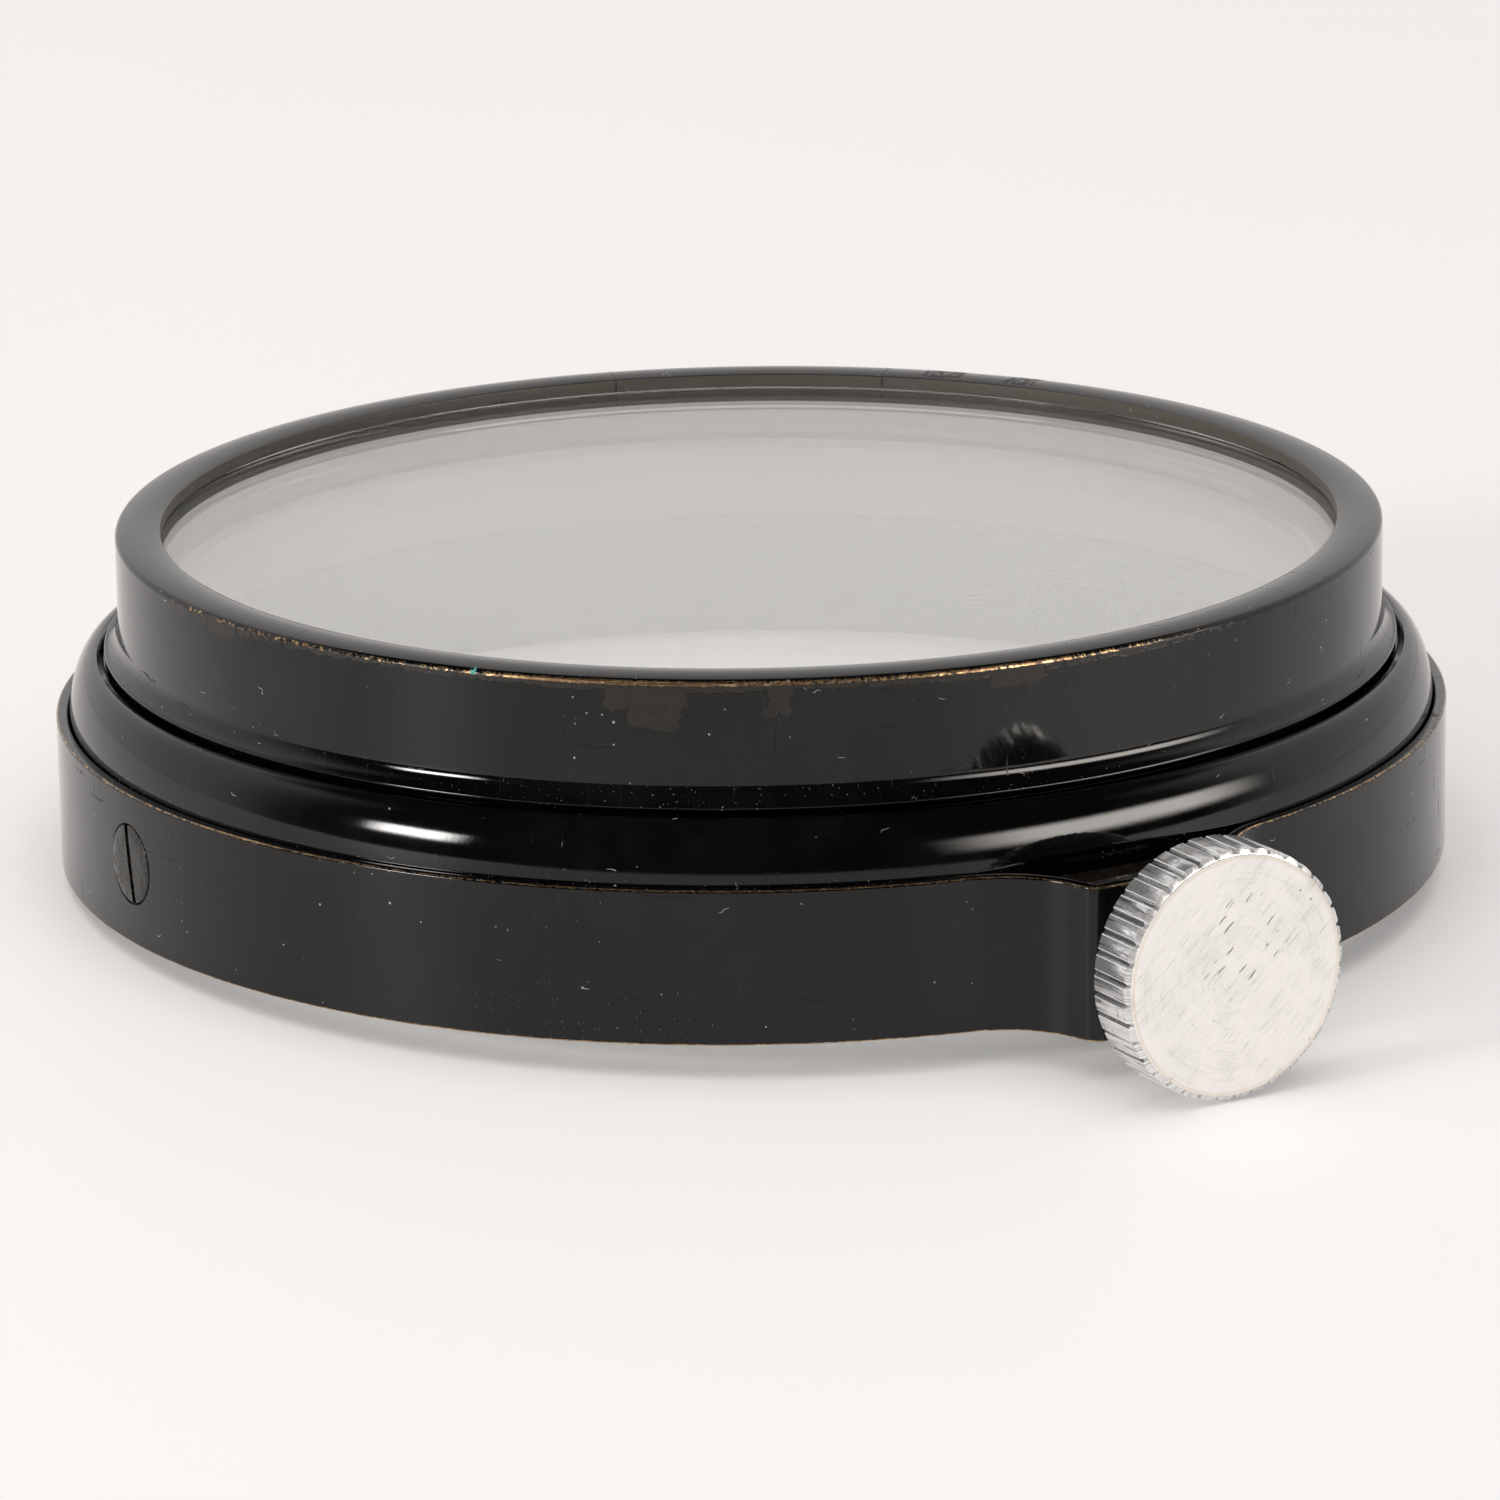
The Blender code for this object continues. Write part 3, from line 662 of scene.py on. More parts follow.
def film():
    """A thin, mottled, nearly clear sheet."""
    look = Look("pale_film_look", (0.86, 0.85, 0.82), 0.45, Alpha=0.04, IOR=1.2)
    mottle = look.noise(4.0, 4.0, 0.6)
    look.set(Base_Color=look.mix(mottle, (0.9, 0.88, 0.85), (0.78, 0.76, 0.72)))
    look.set(Roughness=look.spread(mottle, 0.35, 0.55))
    look.bump(look.noise(6.0, 2.0), 0.004)
    return look.finish()


def tape():
    """Black paper tape with a crepe surface."""
    look = Look("black_tape_look", (0.025, 0.024, 0.023), 0.85)
    crepe = look.noise(0.25, 5.0, 0.7)
    look.set(Base_Color=look.mix(crepe, (0.016, 0.015, 0.015), (0.05, 0.047, 0.044)))
    look.set(Roughness=look.spread(crepe, 0.75, 0.95))
    look.bump(crepe, 0.03)
    return look.finish()


def cork():
    """Darkened sheet cork: two browns from grain to grain, and darker specks."""
    look = Look("cork_look", (0.12, 0.08, 0.05), 0.9)
    distance, draw = look.cells(0.55)
    grain = look.mix(draw[0], (0.085, 0.055, 0.035), (0.15, 0.105, 0.065))
    dark = look.specks(0.9, 0.4, 0.4, shift=2.0)
    look.set(Base_Color=look.mix(dark, grain, (0.03, 0.02, 0.012)))
    look.set(Roughness=look.spread(look.noise(0.4, 3.0), 0.8, 0.98))
    look.bump(distance, 0.05)
    look.bump(look.noise(0.15, 3.0), 0.02)
    return look.finish()


def felt():
    """Short black felt with paler lint on it."""
    look = Look("black_felt_look", (0.02, 0.02, 0.022), 0.95, Sheen_Weight=0.25, Sheen_Roughness=0.5)
    mat = look.noise(0.18, 6.0, 0.8)
    slant = look.add(look.x, look.z)
    lint = look.strokes(slant, look.add(look.y, look.z), 1.4, 0.06, 0.08, bend=0.8)
    colour = look.mix(mat, (0.010, 0.010, 0.011), (0.045, 0.043, 0.042))
    look.set(Base_Color=look.mix(look.times(lint, 0.5), colour, (0.25, 0.24, 0.23)))
    look.set(Roughness=look.spread(mat, 0.85, 1.0))
    look.bump(mat, 0.09)
    return look.finish()


def knob_metal():
    """Aluminium: a matt, scratched face inside a rim tinted as a painted warm highlight, and brighter,
    bruised serrations with painted highlights on their edges and ends and painted shade in their grooves.
    """
    look = Look("aluminium_look", (0.88, 0.87, 0.85), 0.4, 1.0)
    up = look.less(look.z, SCREW_HEIGHT)
    reach = look.math("SQRT", look.add(look.square(look.x), look.square(up)))
    girth = look.times(look.math("ARCTAN2", up, look.x), KNOB_RADIUS)
    face = look.rise(look.y, -KNOB_FACE + 0.06, -KNOB_FACE + 0.02)
    side = look.less(1.0, face)

    slant = math.radians(42)
    along = look.add(look.times(look.x, math.cos(slant)), look.times(up, math.sin(slant)))
    beside = look.add(look.times(look.x, -math.sin(slant)), look.times(up, math.cos(slant)))
    rings = look.noise(0.16, 4.0, 0.7, at=look.vector(reach, look.times(girth, 0.04)))
    brushed = look.noise(0.5, 4.0, 0.7, at=look.vector(look.times(along, 0.25), look.times(beside, 5.0)))
    cloud = look.noise(2.6, 5.0, 0.6, shift=3.0)
    aside = look.add(look.square(look.less(look.x, 0.4)), look.square(look.less(up, 1.4)))
    middle = look.rise(aside, 9.0, 3.0)
    fine = look.strokes(along, beside, 1.3, 0.05, 0.2, shift=2.0, bend=0.1)
    deep = look.times(look.strokes(along, beside, 0.8, 0.11, 0.10, shift=8.0, bend=0.2), middle)
    pits = look.specks(0.6, 0.16, 0.15, shift=5.0)
    scuff = look.times(look.rise(look.times(cloud, brushed), 0.29, 0.45), 0.14)
    faint = look.times(fine, look.rise(cloud, 0.35, 0.6), 0.2)
    dark = look.most(look.times(deep, 0.75), look.times(pits, 0.6), faint, scuff)
    dark = look.times(dark, face)
    tone = look.mix(look.rise(cloud, 0.4, 0.7), (0.97, 0.945, 0.92), (0.92, 0.895, 0.875))
    arcs = look.times(look.rise(rings, 0.5, 0.62), look.rise(cloud, 0.35, 0.6), face, 0.3)
    tone = look.mix(arcs, tone, (0.70, 0.685, 0.675))
    # Painted highlight: a warm tint along the face's outer edge stands in for the warm light its small bevel
    # catches.
    rim = look.times(look.rise(reach, KNOB_FACE_RADIUS - 0.22, KNOB_FACE_RADIUS - 0.08), face)
    tone = look.mix(look.times(rim, 0.6), tone, (0.84, 0.74, 0.64))

    drawn = look.noise(0.16, 3.0, 0.7, at=look.vector(look.times(look.y, 0.12), girth), shift=6.0)
    bruise = look.noise(0.5, 5.0, 0.75, shift=7.0)
    # Painted shade: thin dark lines along the teeth stand in for the shade in fine grooves.
    fine_groove_shade = look.strokes(look.y, girth, 3.0, 0.10, 0.30, shift=6.0)
    tooth = look.add(look.times(girth, KNOB_TEETH / (2 * math.pi * KNOB_RADIUS)), KNOB_TEETH / 4)
    groove = look.math("PINGPONG", tooth, 0.5)
    # Painted highlight: the teeth's front ends by the face are lightened as glints.
    chamfer = look.times(look.rise(look.y, -KNOB_FACE + 0.27, -KNOB_FACE + 0.22), side)
    # Painted highlight: a thin near-white line along each groove's edge on the serrations.
    painted_edge_highlight = look.times(look.within(groove, KNOB_GROOVE_SHARE / 2 + 0.01, 0.012, 0.02), side)
    layers = (
        (look.times(side, 0.75), (0.66, 0.67, 0.68)),
        (look.times(side, look.rise(drawn, 0.5, 0.62), 0.35), (0.36, 0.37, 0.38)),
        (look.times(side, look.rise(bruise, 0.56, 0.68), 0.6), (0.14, 0.14, 0.15)),
        # Painted shade of fine grooves along the teeth.
        (look.times(side, fine_groove_shade, 0.8), (0.10, 0.10, 0.11)),
        # Painted shade: the serrations' grooves are darkened where shade falls in them.
        (look.times(side, look.rise(groove, 0.11, 0.04), 0.55), (0.09, 0.09, 0.10)),
        # Painted highlights: bright groove edges, and glints at the teeth's front ends by the face.
        (look.most(look.times(painted_edge_highlight, 0.8), look.times(chamfer, 0.35)), (0.93, 0.92, 0.90)),
        (dark, (0.09, 0.09, 0.09)),
    )
    for share, colour in layers:
        tone = look.mix(share, tone, colour)
    # Less metallic on the matt face and where the glints and edge highlights are painted.
    rubbed = look.most(face, look.times(chamfer, 0.5), painted_edge_highlight)
    look.set(Base_Color=tone, Metallic=look.blend(rubbed, 0.8, 0.2))
    side_rough = look.spread(bruise, 0.10, 0.30)
    face_rough = look.spread(look.times(look.add(rings, brushed), 0.5), 0.45, 0.62)
    look.set(Roughness=look.blend(face, side_rough, face_rough))
    look.bump(look.times(rings, face), 0.012)
    look.bump(look.times(brushed, face), 0.008)
    look.bump(look.times(look.most(deep, fine), face), -0.03)
    look.bump(look.times(drawn, side), 0.006)
    look.bump(look.times(bruise, side), 0.006)
    return look.finish()


# Pieces


def cell_profile():
    """Round the cell's section: spigot, bead, cove, wall, sharp-cornered lip with a broad crown."""
    join = 76.0
    corner_centre = (CELL_RADIUS - LIP_CORNER_ROUND, LIP_CORNER)
    corner = arc(corner_centre, (LIP_CORNER_ROUND, LIP_CORNER_ROUND), 0, join, 8)
    shift = LIP_CORNER_ROUND - LIP_CROWN_ROUND
    crown_centre = (
        corner_centre[0] + shift * math.cos(math.radians(join)),
        corner_centre[1] + shift * math.sin(math.radians(join)),
    )
    crown = arc(crown_centre, (LIP_CROWN_ROUND, LIP_CROWN_ROUND), join, 106, 8)[1:]
    cove = arc((CELL_RADIUS + COVE_ROUND, WALL_FOOT), (COVE_ROUND, COVE_ROUND), 240, 180, 10)
    bead_centre = (CELL_RADIUS + 0.6, BEAD_FOOT + BEAD_ROUND)
    bead = arc(bead_centre, (BEAD_ROUND, BEAD_ROUND), -90, 60, 6)
    seat = GLASS_TOP + CLOSE_FIT
    inner = [(LIP_INNER, seat), (CELL_BORE, seat), (CELL_BORE, SPIGOT_FOOT)]
    foot = [(SPIGOT_RADIUS, SPIGOT_FOOT), (SPIGOT_RADIUS, BEAD_FOOT)]
    return soften(foot + bead + cove + corner + crown + inner, 0.08)


def make_cell():
    cell = turned("lacquered_cell", cell_profile())
    finish_piece(cell, lacquer("cell_lacquer", cell_wear), "black_lacquer", "root", "cell_ring")


def pane(name, floor, top, look, node):
    edge = 0.15
    rim = arc((GLASS_RADIUS - edge, floor + edge), (edge, edge), -90, 0, 4)
    rim += arc((GLASS_RADIUS - edge, top - edge), (edge, edge), 0, 90, 4)
    disc = turned(name, [(0.0, floor)] + rim + [(0.0, top)], looped=False)
    finish_piece(disc, look, "clear_glass", "root", node)


def make_glazing():
    pane("front_pane", GLASS_FLOOR, GLASS_TOP, glass("front_glass_look", 1.0), "front_glass")
    pane("rear_pane", REAR_FLOOR, REAR_TOP, glass("rear_glass_look", 5.0), "rear_glass")
    low = FILM_TOP - FILM_THICKNESS
    profile = [(0.0, low), (GLASS_RADIUS - 0.05, low), (GLASS_RADIUS, low + 0.05)]
    profile += [(GLASS_RADIUS, FILM_TOP - 0.05), (GLASS_RADIUS - 0.05, FILM_TOP), (0.0, FILM_TOP)]
    sheet = turned("pale_film_disc", profile, looped=False)
    finish_piece(sheet, film(), "pale_film", "root", "filter_film")
    inner = GLASS_RADIUS + GAP
    outer = inner + BINDING_THICKNESS
    binding = square_ring("binding_tape", inner, outer, REAR_FLOOR, GLASS_TOP, 0.05)
    finish_piece(binding, tape(), "black_tape", "root", "edge_binding")


def make_retainers():
    outer = CELL_BORE - GAP
    top = REAR_FLOOR - GAP
    low = top - GASKET_THICKNESS
    gasket = square_ring("cork_gasket", GASKET_INNER, outer, low, top, 0.12)
    finish_piece(gasket, cork(), "cork", "root", "rear_gasket")
    top = low - GAP
    low = top - RETAINER_THICKNESS
    ring = square_ring("retainer", RETAINER_INNER, outer, low, top, 0.12)
    half = SPANNER_SLOT_WIDTH / 2
    slots = []
    for side in (-1, 1):
        reach = sorted((side * (RETAINER_INNER - 1), side * (outer + 1)))
        slots.append(box_between(f"slot{side}", reach, (-half, half), (low - 1, low + SPANNER_SLOT_DEPTH)))
    cut(ring, slots)
    look = metal("blacked_retainer", (0.035, 0.03, 0.026), (0.06, 0.05, 0.04), 0.4)
    finish_piece(ring, look, "blacked_brass", "root", "retaining_ring")


def make_collar():
    bore = SPIGOT_RADIUS + GAP
    skirt = BAND_INNER - CLOSE_FIT
    radii = (skirt - SHOULDER_CREST, SHOULDER_TOP - SHOULDER_FOOT)
    roll = arc((SHOULDER_CREST, SHOULDER_FOOT), radii, 0, 90, 28)
    ledge = BEAD_FOOT - GAP - 0.1
    foot = SPIGOT_FOOT - GAP
    edge = 0.15
    profile = [(SKIRT_BORE, edge), (SKIRT_BORE + edge, 0.0), (skirt - edge, 0.0)]
    profile += [(skirt, edge)] + roll
    profile += [(SHOULDER_CREST - 0.35, ledge), (bore, ledge), (bore, foot), (SKIRT_BORE, foot)]
    ring = turned("collar", soften(profile, 0.1))
    half = SHOE_HALF_WIDTH + GAP
    reach = (-skirt - 2, -SKIRT_BORE + 2)
    cutters = [box_between("shoe_window", (-half, half), reach, (-1, SHOE_TOP + GAP))]
    drilled = [(SCREW_SHANK_RADIUS + GAP, SKIRT_BORE - 1), (SCREW_SHANK_RADIUS + GAP, skirt + 2)]
    for name, (angle, _) in BAND_SCREWS.items():
        cutters.append(pin(f"collar_hole_{name}", drilled, angle, 32))
    cut(ring, cutters)
    finish_piece(ring, lacquer("collar_lacquer", collar_wear), "black_lacquer", "root", "collar_ring")


def felt_strip(name, outer, start, sweep, steps):
    """Felt round part of the bore, with a slightly uneven inner face."""
    middle = (FELT_BOTTOM + FELT_TOP) / 2
    rings = []
    for i in range(steps + 1):
        turn = start + sweep * i / steps
        swell = 0.03 * math.sin(37 * turn) + 0.02 * math.sin(91 * turn)
        section = [(LINING_INNER, FELT_BOTTOM), (outer, FELT_BOTTOM), (outer, FELT_TOP)]
        section += [(LINING_INNER, FELT_TOP), (LINING_INNER + swell, middle)]
        rounded = soften(section, 0.12)
        rings.append([(r * math.cos(turn), r * math.sin(turn), z) for r, z in rounded])
    return loft(name, rings)


def make_lining(look):
    opening = math.asin((SHOE_HALF_WIDTH + 2 * GAP) / LINING_INNER)
    outer = LINING_INNER + LINING_THICKNESS
    strip = felt_strip("felt_lining", outer, opening - math.pi / 2, 2 * math.pi - 2 * opening, RING_STEPS)
    finish_piece(strip, look, "black_felt", "root", "skirt_lining")


def bow(centre, radius, start, end, steps, side=1):
    """Points on an arc with the normal at each; side is -1 where its centre lies outside the band."""
    turns = [start + (end - start) * i / steps for i in range(steps + 1)]
    return [
        (
            (centre[0] + radius * math.cos(a), centre[1] + radius * math.sin(a)),
            (side * math.cos(a), side * math.sin(a)),
        )
        for a in turns
    ]


def half_band_path():
    """Mid-line of half the band from the pocket's middle to the back, as (point, outward normal).

    The first coordinate is sideways from the thumbscrew and the second is the reach along it.
    """
    mid = BAND_THICKNESS / 2
    mid_radius = BAND_RADIUS - mid
    root_reach = math.sqrt(BAND_RADIUS**2 - POCKET_ROOT_HALF**2)
    run = (POCKET_FACE_HALF - POCKET_ROOT_HALF, POCKET_REACH - root_reach)
    length = math.hypot(*run)
    along = (run[0] / length, run[1] / length)
    out = (along[1], -along[0])
    corner_radius = POCKET_CORNER_ROUND - mid
    root_radius = POCKET_ROOT_ROUND + mid
    foot = (POCKET_ROOT_HALF - mid * out[0], root_reach - mid * out[1])

    corner_reach = POCKET_REACH - mid - corner_radius
    corner_side = foot[0] - (corner_radius + (corner_reach - foot[1]) * out[1]) / out[0]
    base = (foot[0] + root_radius * out[0], foot[1] + root_radius * out[1])
    dot = base[0] * along[0] + base[1] * along[1]
    far = math.hypot(*base) ** 2 - (mid_radius + root_radius) ** 2
    slide = math.sqrt(dot**2 - far) - dot
    root = (base[0] + slide * along[0], base[1] + slide * along[1])

    wall_turn = math.atan2(out[1], out[0])
    root_turn = math.atan2(root[1], root[0])
    path = bow((corner_side, corner_reach), corner_radius, math.pi / 2, wall_turn, 14)
    path += bow(root, root_radius, wall_turn + math.pi, root_turn + math.pi, 16, side=-1)
    path += bow((0.0, 0.0), mid_radius, root_turn, -math.pi / 2, RING_STEPS // 2)[1:]
    return path


def band_section(point, normal):
    """The band's section at one point of its path, more rounded along its top."""
    mid = BAND_THICKNESS / 2
    worn = BAND_EDGE_ROUND
    shape = soften([(-mid, 0.0), (mid, 0.0), (mid, BAND_HEIGHT), (-mid, BAND_HEIGHT)], 0.1)[:8]
    shape += arc((mid - worn, BAND_HEIGHT - worn), (worn, worn), 0, 90, 4)
    shape += arc((worn - mid, BAND_HEIGHT - worn), (worn, worn), 90, 180, 4)
    return [(point[0] + d * normal[0], -(point[1] + d * normal[1]), z) for d, z in shape]


def pocket_holes(name, start, end):
    """Cutters for the thumbscrew and the two rivets in the pocket."""
    made = [pin(f"{name}_thumbscrew", [(SHANK_RADIUS + GAP, start), (SHANK_RADIUS + GAP, end)], -90)]
    for side in (-1, 1):
        small = [(RIVET_RADIUS + 0.05, start), (RIVET_RADIUS + 0.05, end)]
        made.append(pin(f"{name}_rivet{side}", small, -90, 32, side * RIVET_OFFSET))
    return made


def make_band():
    right = half_band_path()
    left = [((-p[0], p[1]), (-n[0], n[1])) for p, n in right[:-1]]
    band = loft("pocketed_band", [band_section(p, n) for p, n in right + left[::-1]], looped=True)
    sunk = [
        (SCREW_SHANK_RADIUS + GAP, BAND_INNER - 1),
        (SCREW_SHANK_RADIUS + GAP, BAND_RADIUS - 0.75),
        (SCREW_HEAD_RADIUS + 0.08, BAND_RADIUS - 0.1),
        (SCREW_HEAD_RADIUS + 0.08, BAND_RADIUS + 1),
    ]
    cutters = [pin(f"band_hole_{name}", sunk, angle) for name, (angle, _) in BAND_SCREWS.items()]
    cutters += pocket_holes("band", POCKET_INNER - 1, POCKET_REACH + 1)
    cut(band, cutters)
    finish_piece(band, lacquer("band_lacquer", band_wear), "black_lacquer", "root", "clamp_band")


def make_band_screws():
    look = lacquer("screw_lacquer", screw_wear)
    neck = BAND_RADIUS - 0.85
    head = SCREW_HEAD_RADIUS
    shank = SCREW_SHANK_RADIUS
    profile = [(0.0, SCREW_TIP), (shank - 0.15, SCREW_TIP), (shank, SCREW_TIP + 0.15)]
    profile += [(shank, neck), (head, BAND_RADIUS - 0.14)]
    profile += arc((head - 0.07, BAND_RADIUS - 0.07), (0.07, 0.07), 0, 80, 4)
    profile += [(head * 0.6, BAND_RADIUS + 0.02), (0.0, BAND_RADIUS + 0.03)]
    half = SCREW_SLOT_WIDTH / 2
    depth = (BAND_RADIUS - SCREW_SLOT_DEPTH, BAND_RADIUS + 1)
    for name, (angle, lean) in BAND_SCREWS.items():
        screw = turned(f"slotted_screw_{name}", profile, SMALL_STEPS, looped=False)
        slot = box_between(f"slot_{name}", (-3, 3), (-half, half), depth)
        slot.data.transform(Matrix.Rotation(math.radians(lean), 4, "Z"))
        cut(screw, [slot])
        stand_out(screw, angle)
        finish_piece(screw, look, "black_lacquer", "root", f"band_screw_{name}")


def bevel(obj, width, segments=2):
    modifier = obj.modifiers.new("edges", "BEVEL")
    modifier.width = width * MM
    modifier.segments = segments
    modifier.limit_method = "ANGLE"
    modifier.angle_limit = math.radians(40)
    bake_modifiers(obj)


def make_block():
    reach = (-(POCKET_INNER - GAP), -BLOCK_INNER)
    width = (-BLOCK_HALF_WIDTH, BLOCK_HALF_WIDTH)
    block = box_between("threaded_block", width, reach, (BLOCK_BOTTOM, BLOCK_TOP))
    bevel(block, 0.15, 3)
    cut(block, pocket_holes("block", BLOCK_INNER - 0.5, POCKET_INNER + 0.5))
    finish_piece(block, dusty_block(), "blacked_brass", "root", "clamp_block")
    look = metal("blacked_rivet", (0.05, 0.04, 0.03), (0.35, 0.23, 0.1), 0.4)
    for side, name in ((-1, "left"), (1, "right")):
        profile = [(0.0, BLOCK_INNER + 0.1), (RIVET_RADIUS - 0.08, BLOCK_INNER + 0.1)]
        profile += [(RIVET_RADIUS, BLOCK_INNER + 0.18)]
        profile += arc((RIVET_RADIUS - 0.12, POCKET_REACH - 0.12), (0.12, 0.12), 0, 90, 4)
        profile += [(0.0, POCKET_REACH + 0.03)]
        rivet = pin(f"flush_rivet_{name}", profile, -90, 32, side * RIVET_OFFSET)
        finish_piece(rivet, look, "blacked_brass", "root", f"block_rivet_{name}")


def make_shoe(felt_look):
    sweep = math.asin(SHOE_HALF_WIDTH / SKIRT_BORE)
    steps = 36
    turns = [-math.pi / 2 - sweep + 2 * sweep * i / steps for i in range(steps + 1)]
    plan = [(SKIRT_BORE * math.cos(a), SKIRT_BORE * math.sin(a)) for a in turns]
    plan += [(SHOE_HALF_WIDTH, -SHOE_OUTER), (-SHOE_HALF_WIDTH, -SHOE_OUTER)]
    shoe = loft("brass_shoe", [[(x, y, z) for x, y in plan] for z in (SHOE_BOTTOM, SHOE_TOP)])
    bevel(shoe, 0.15, 2)
    wide = SHANK_RADIUS + GAP
    narrow = SHANK_NECK + GAP
    button = (-BUTTON_END - GAP, -BUTTON_START + GAP)
    neck = (-SHOE_OUTER - 1, -BUTTON_END - GAP / 3)
    cutters = [
        box_between("button_slot", (-wide, wide), button, (-1, SCREW_HEIGHT)),
        box_between("neck_slot", (-narrow, narrow), neck, (-2, SCREW_HEIGHT)),
        pin("button_round", [(wide, -button[1]), (wide, -button[0])], -90),
        pin("neck_round", [(narrow, BUTTON_END + 0.1), (narrow, SHOE_OUTER + 1)], -90),
    ]
    cut(shoe, cutters)
    look = metal("tarnished_brass", (0.10, 0.07, 0.035), (0.03, 0.024, 0.016), 0.5)
    finish_piece(shoe, look, "brass", "pressure_shoe", "pressure_shoe")
    outer = SKIRT_BORE - GAP
    sweep = math.asin((SHOE_HALF_WIDTH - GAP) / outer)
    pad = felt_strip("felt_shoe_pad", outer, -math.pi / 2 - sweep, 2 * sweep, 36)
    finish_piece(pad, felt_look, "black_felt", "pressure_shoe", "shoe_pad")


def thread_radius(turn, reach, start, end):
    """The stud's radius on a right-handed triangular thread that fades out at both ends."""
    phase = (reach / THREAD_PITCH - turn / (2 * math.pi)) % 1.0
    depth = THREAD_DEPTH * abs(2 * phase - 1)
    fade = min(1.0, (reach - start) / THREAD_PITCH, (end - reach) / THREAD_PITCH)
    return SHANK_RADIUS - depth * max(0.0, fade)


def make_shank():
    start = SHOE_OUTER + GAP
    end = KNOB_BACK + SHANK_GRIP
    rings = [circle(0.0, BUTTON_START, 48)]
    plain = [(SHANK_RADIUS - 0.12, BUTTON_START), (SHANK_RADIUS, BUTTON_START + 0.12)]
    plain += [(SHANK_RADIUS, BUTTON_END - 0.08), (SHANK_RADIUS - 0.08, BUTTON_END), (SHANK_NECK, BUTTON_END)]
    plain += [(SHANK_NECK, start)]
    rings += [circle(r, z, 48) for r, z in plain]
    count = round((end - start) / THREAD_PITCH * 10)
    for i in range(count + 1):
        reach = start + (end - start) * i / count
        turns = [2 * math.pi * (k + 0.5) / 48 for k in range(48)]
        radii = [thread_radius(a, reach, start, end) for a in turns]
        rings.append([(r * math.cos(a), r * math.sin(a), reach) for r, a in zip(radii, turns)])
    rings.append(circle(0.0, end, 48))
    shank = loft("threaded_stud", rings)
    stand_out(shank, -90)
    look = metal("steel_look", (0.48, 0.47, 0.46), (0.36, 0.35, 0.34), 0.3)
    finish_piece(shank, look, "steel", "thumbscrew", "thumb_shank")


def tooth_drop(share):
    """How deep the serration is at this share of a tooth's pitch, from 1 in the groove to 0."""
    from_groove = abs(((share + 0.5) % 1.0) - 0.5)
    return max(0.0, 1.0 - from_groove / (KNOB_GROOVE_SHARE / 2))


def toothed_ring(limit, reach):
    """The knob's serrated outline, no wider than limit. Each tooth's land slants by its own amount."""
    groove_edge = KNOB_GROOVE_SHARE / 2
    shares = (0.0, groove_edge, 0.33, 0.5, 0.67, 1 - groove_edge)
    points = []
    for tooth in range(KNOB_TEETH):
        lean = 0.07 * math.sin(5.1 * tooth)
        for share in shares:
            turn = 2 * math.pi * (tooth + share) / KNOB_TEETH
            drop = KNOB_GROOVE_DEPTH * tooth_drop(share)
            crown = 0.03 * (2 * share - 1) ** 2
            r = min(KNOB_RADIUS - crown - drop + lean * (share - 0.5) - abs(lean) / 2, limit)
            points.append((r * math.cos(turn), r * math.sin(turn), reach))
    return points


def make_knob():
    bore = SHANK_RADIUS + GAP
    bore_end = KNOB_BACK + 2.1
    face = KNOB_FACE
    outline = (
        (bore, bore_end),
        (bore, KNOB_BACK + 0.15),
        (bore + 0.15, KNOB_BACK),
        (KNOB_FACE_RADIUS, KNOB_BACK),
        (KNOB_FACE_RADIUS + 0.05, KNOB_BACK + 0.02),
        (KNOB_RADIUS - 0.05, KNOB_BACK + 0.24),
        (KNOB_RADIUS, KNOB_BACK + 0.3),
        (KNOB_RADIUS, face - 0.26),
        (KNOB_RADIUS - 0.03, face - 0.23),
        (KNOB_FACE_RADIUS + 0.08, face - 0.11),
        (KNOB_FACE_RADIUS + 0.05, face - 0.1),
        (KNOB_FACE_RADIUS + 0.05, face - 0.05),
        (KNOB_FACE_RADIUS, face),
    )
    rings = [circle(0.0, bore_end, 1)] + [toothed_ring(limit, reach) for limit, reach in outline]
    for share in (0.985, 0.8, 0.55, 0.3, 0.12):
        rings.append(toothed_ring(KNOB_FACE_RADIUS * share, face - 0.004 * (1 - share)))
    rings.append(circle(0.0, face - 0.004, 1))
    knob = loft("serrated_knob", rings)
    stand_out(knob, -90)
    finish_piece(knob, knob_metal(), "aluminium", "thumbscrew", "thumb_knob")


# Stage


def direction(azimuth, elevation):
    """Unit vector from the object towards that azimuth (0 is -Y, 90 is +X) and elevation."""
    a, e = math.radians(azimuth), math.radians(elevation)
    return Vector((math.sin(a) * math.cos(e), -math.cos(a) * math.cos(e), math.sin(e)))


def make_camera():
    view = direction(CAMERA_AZIMUTH, CAMERA_ELEVATION)
    right = Vector((0, 0, 1)).cross(view).normalized()
    camera = put_in_scene("camera", bpy.data.cameras.new("camera"))
    camera.location = view * CAMERA_DISTANCE * MM
    aim = (right * AIM_SIDE + Vector((0, 0, AIM_HEIGHT))) * MM
    level = (aim - camera.location).to_track_quat("-Z", "Y")
    camera.rotation_mode = "QUATERNION"
    camera.rotation_quaternion = level @ Quaternion((0, 0, 1), math.radians(CAMERA_ROLL))
    camera.data.lens = CAMERA_LENS
    camera.data.sensor_width = 36.0
    camera.data.clip_start = 0.02
    camera.data.clip_end = 20.0
    bpy.context.scene.camera = camera


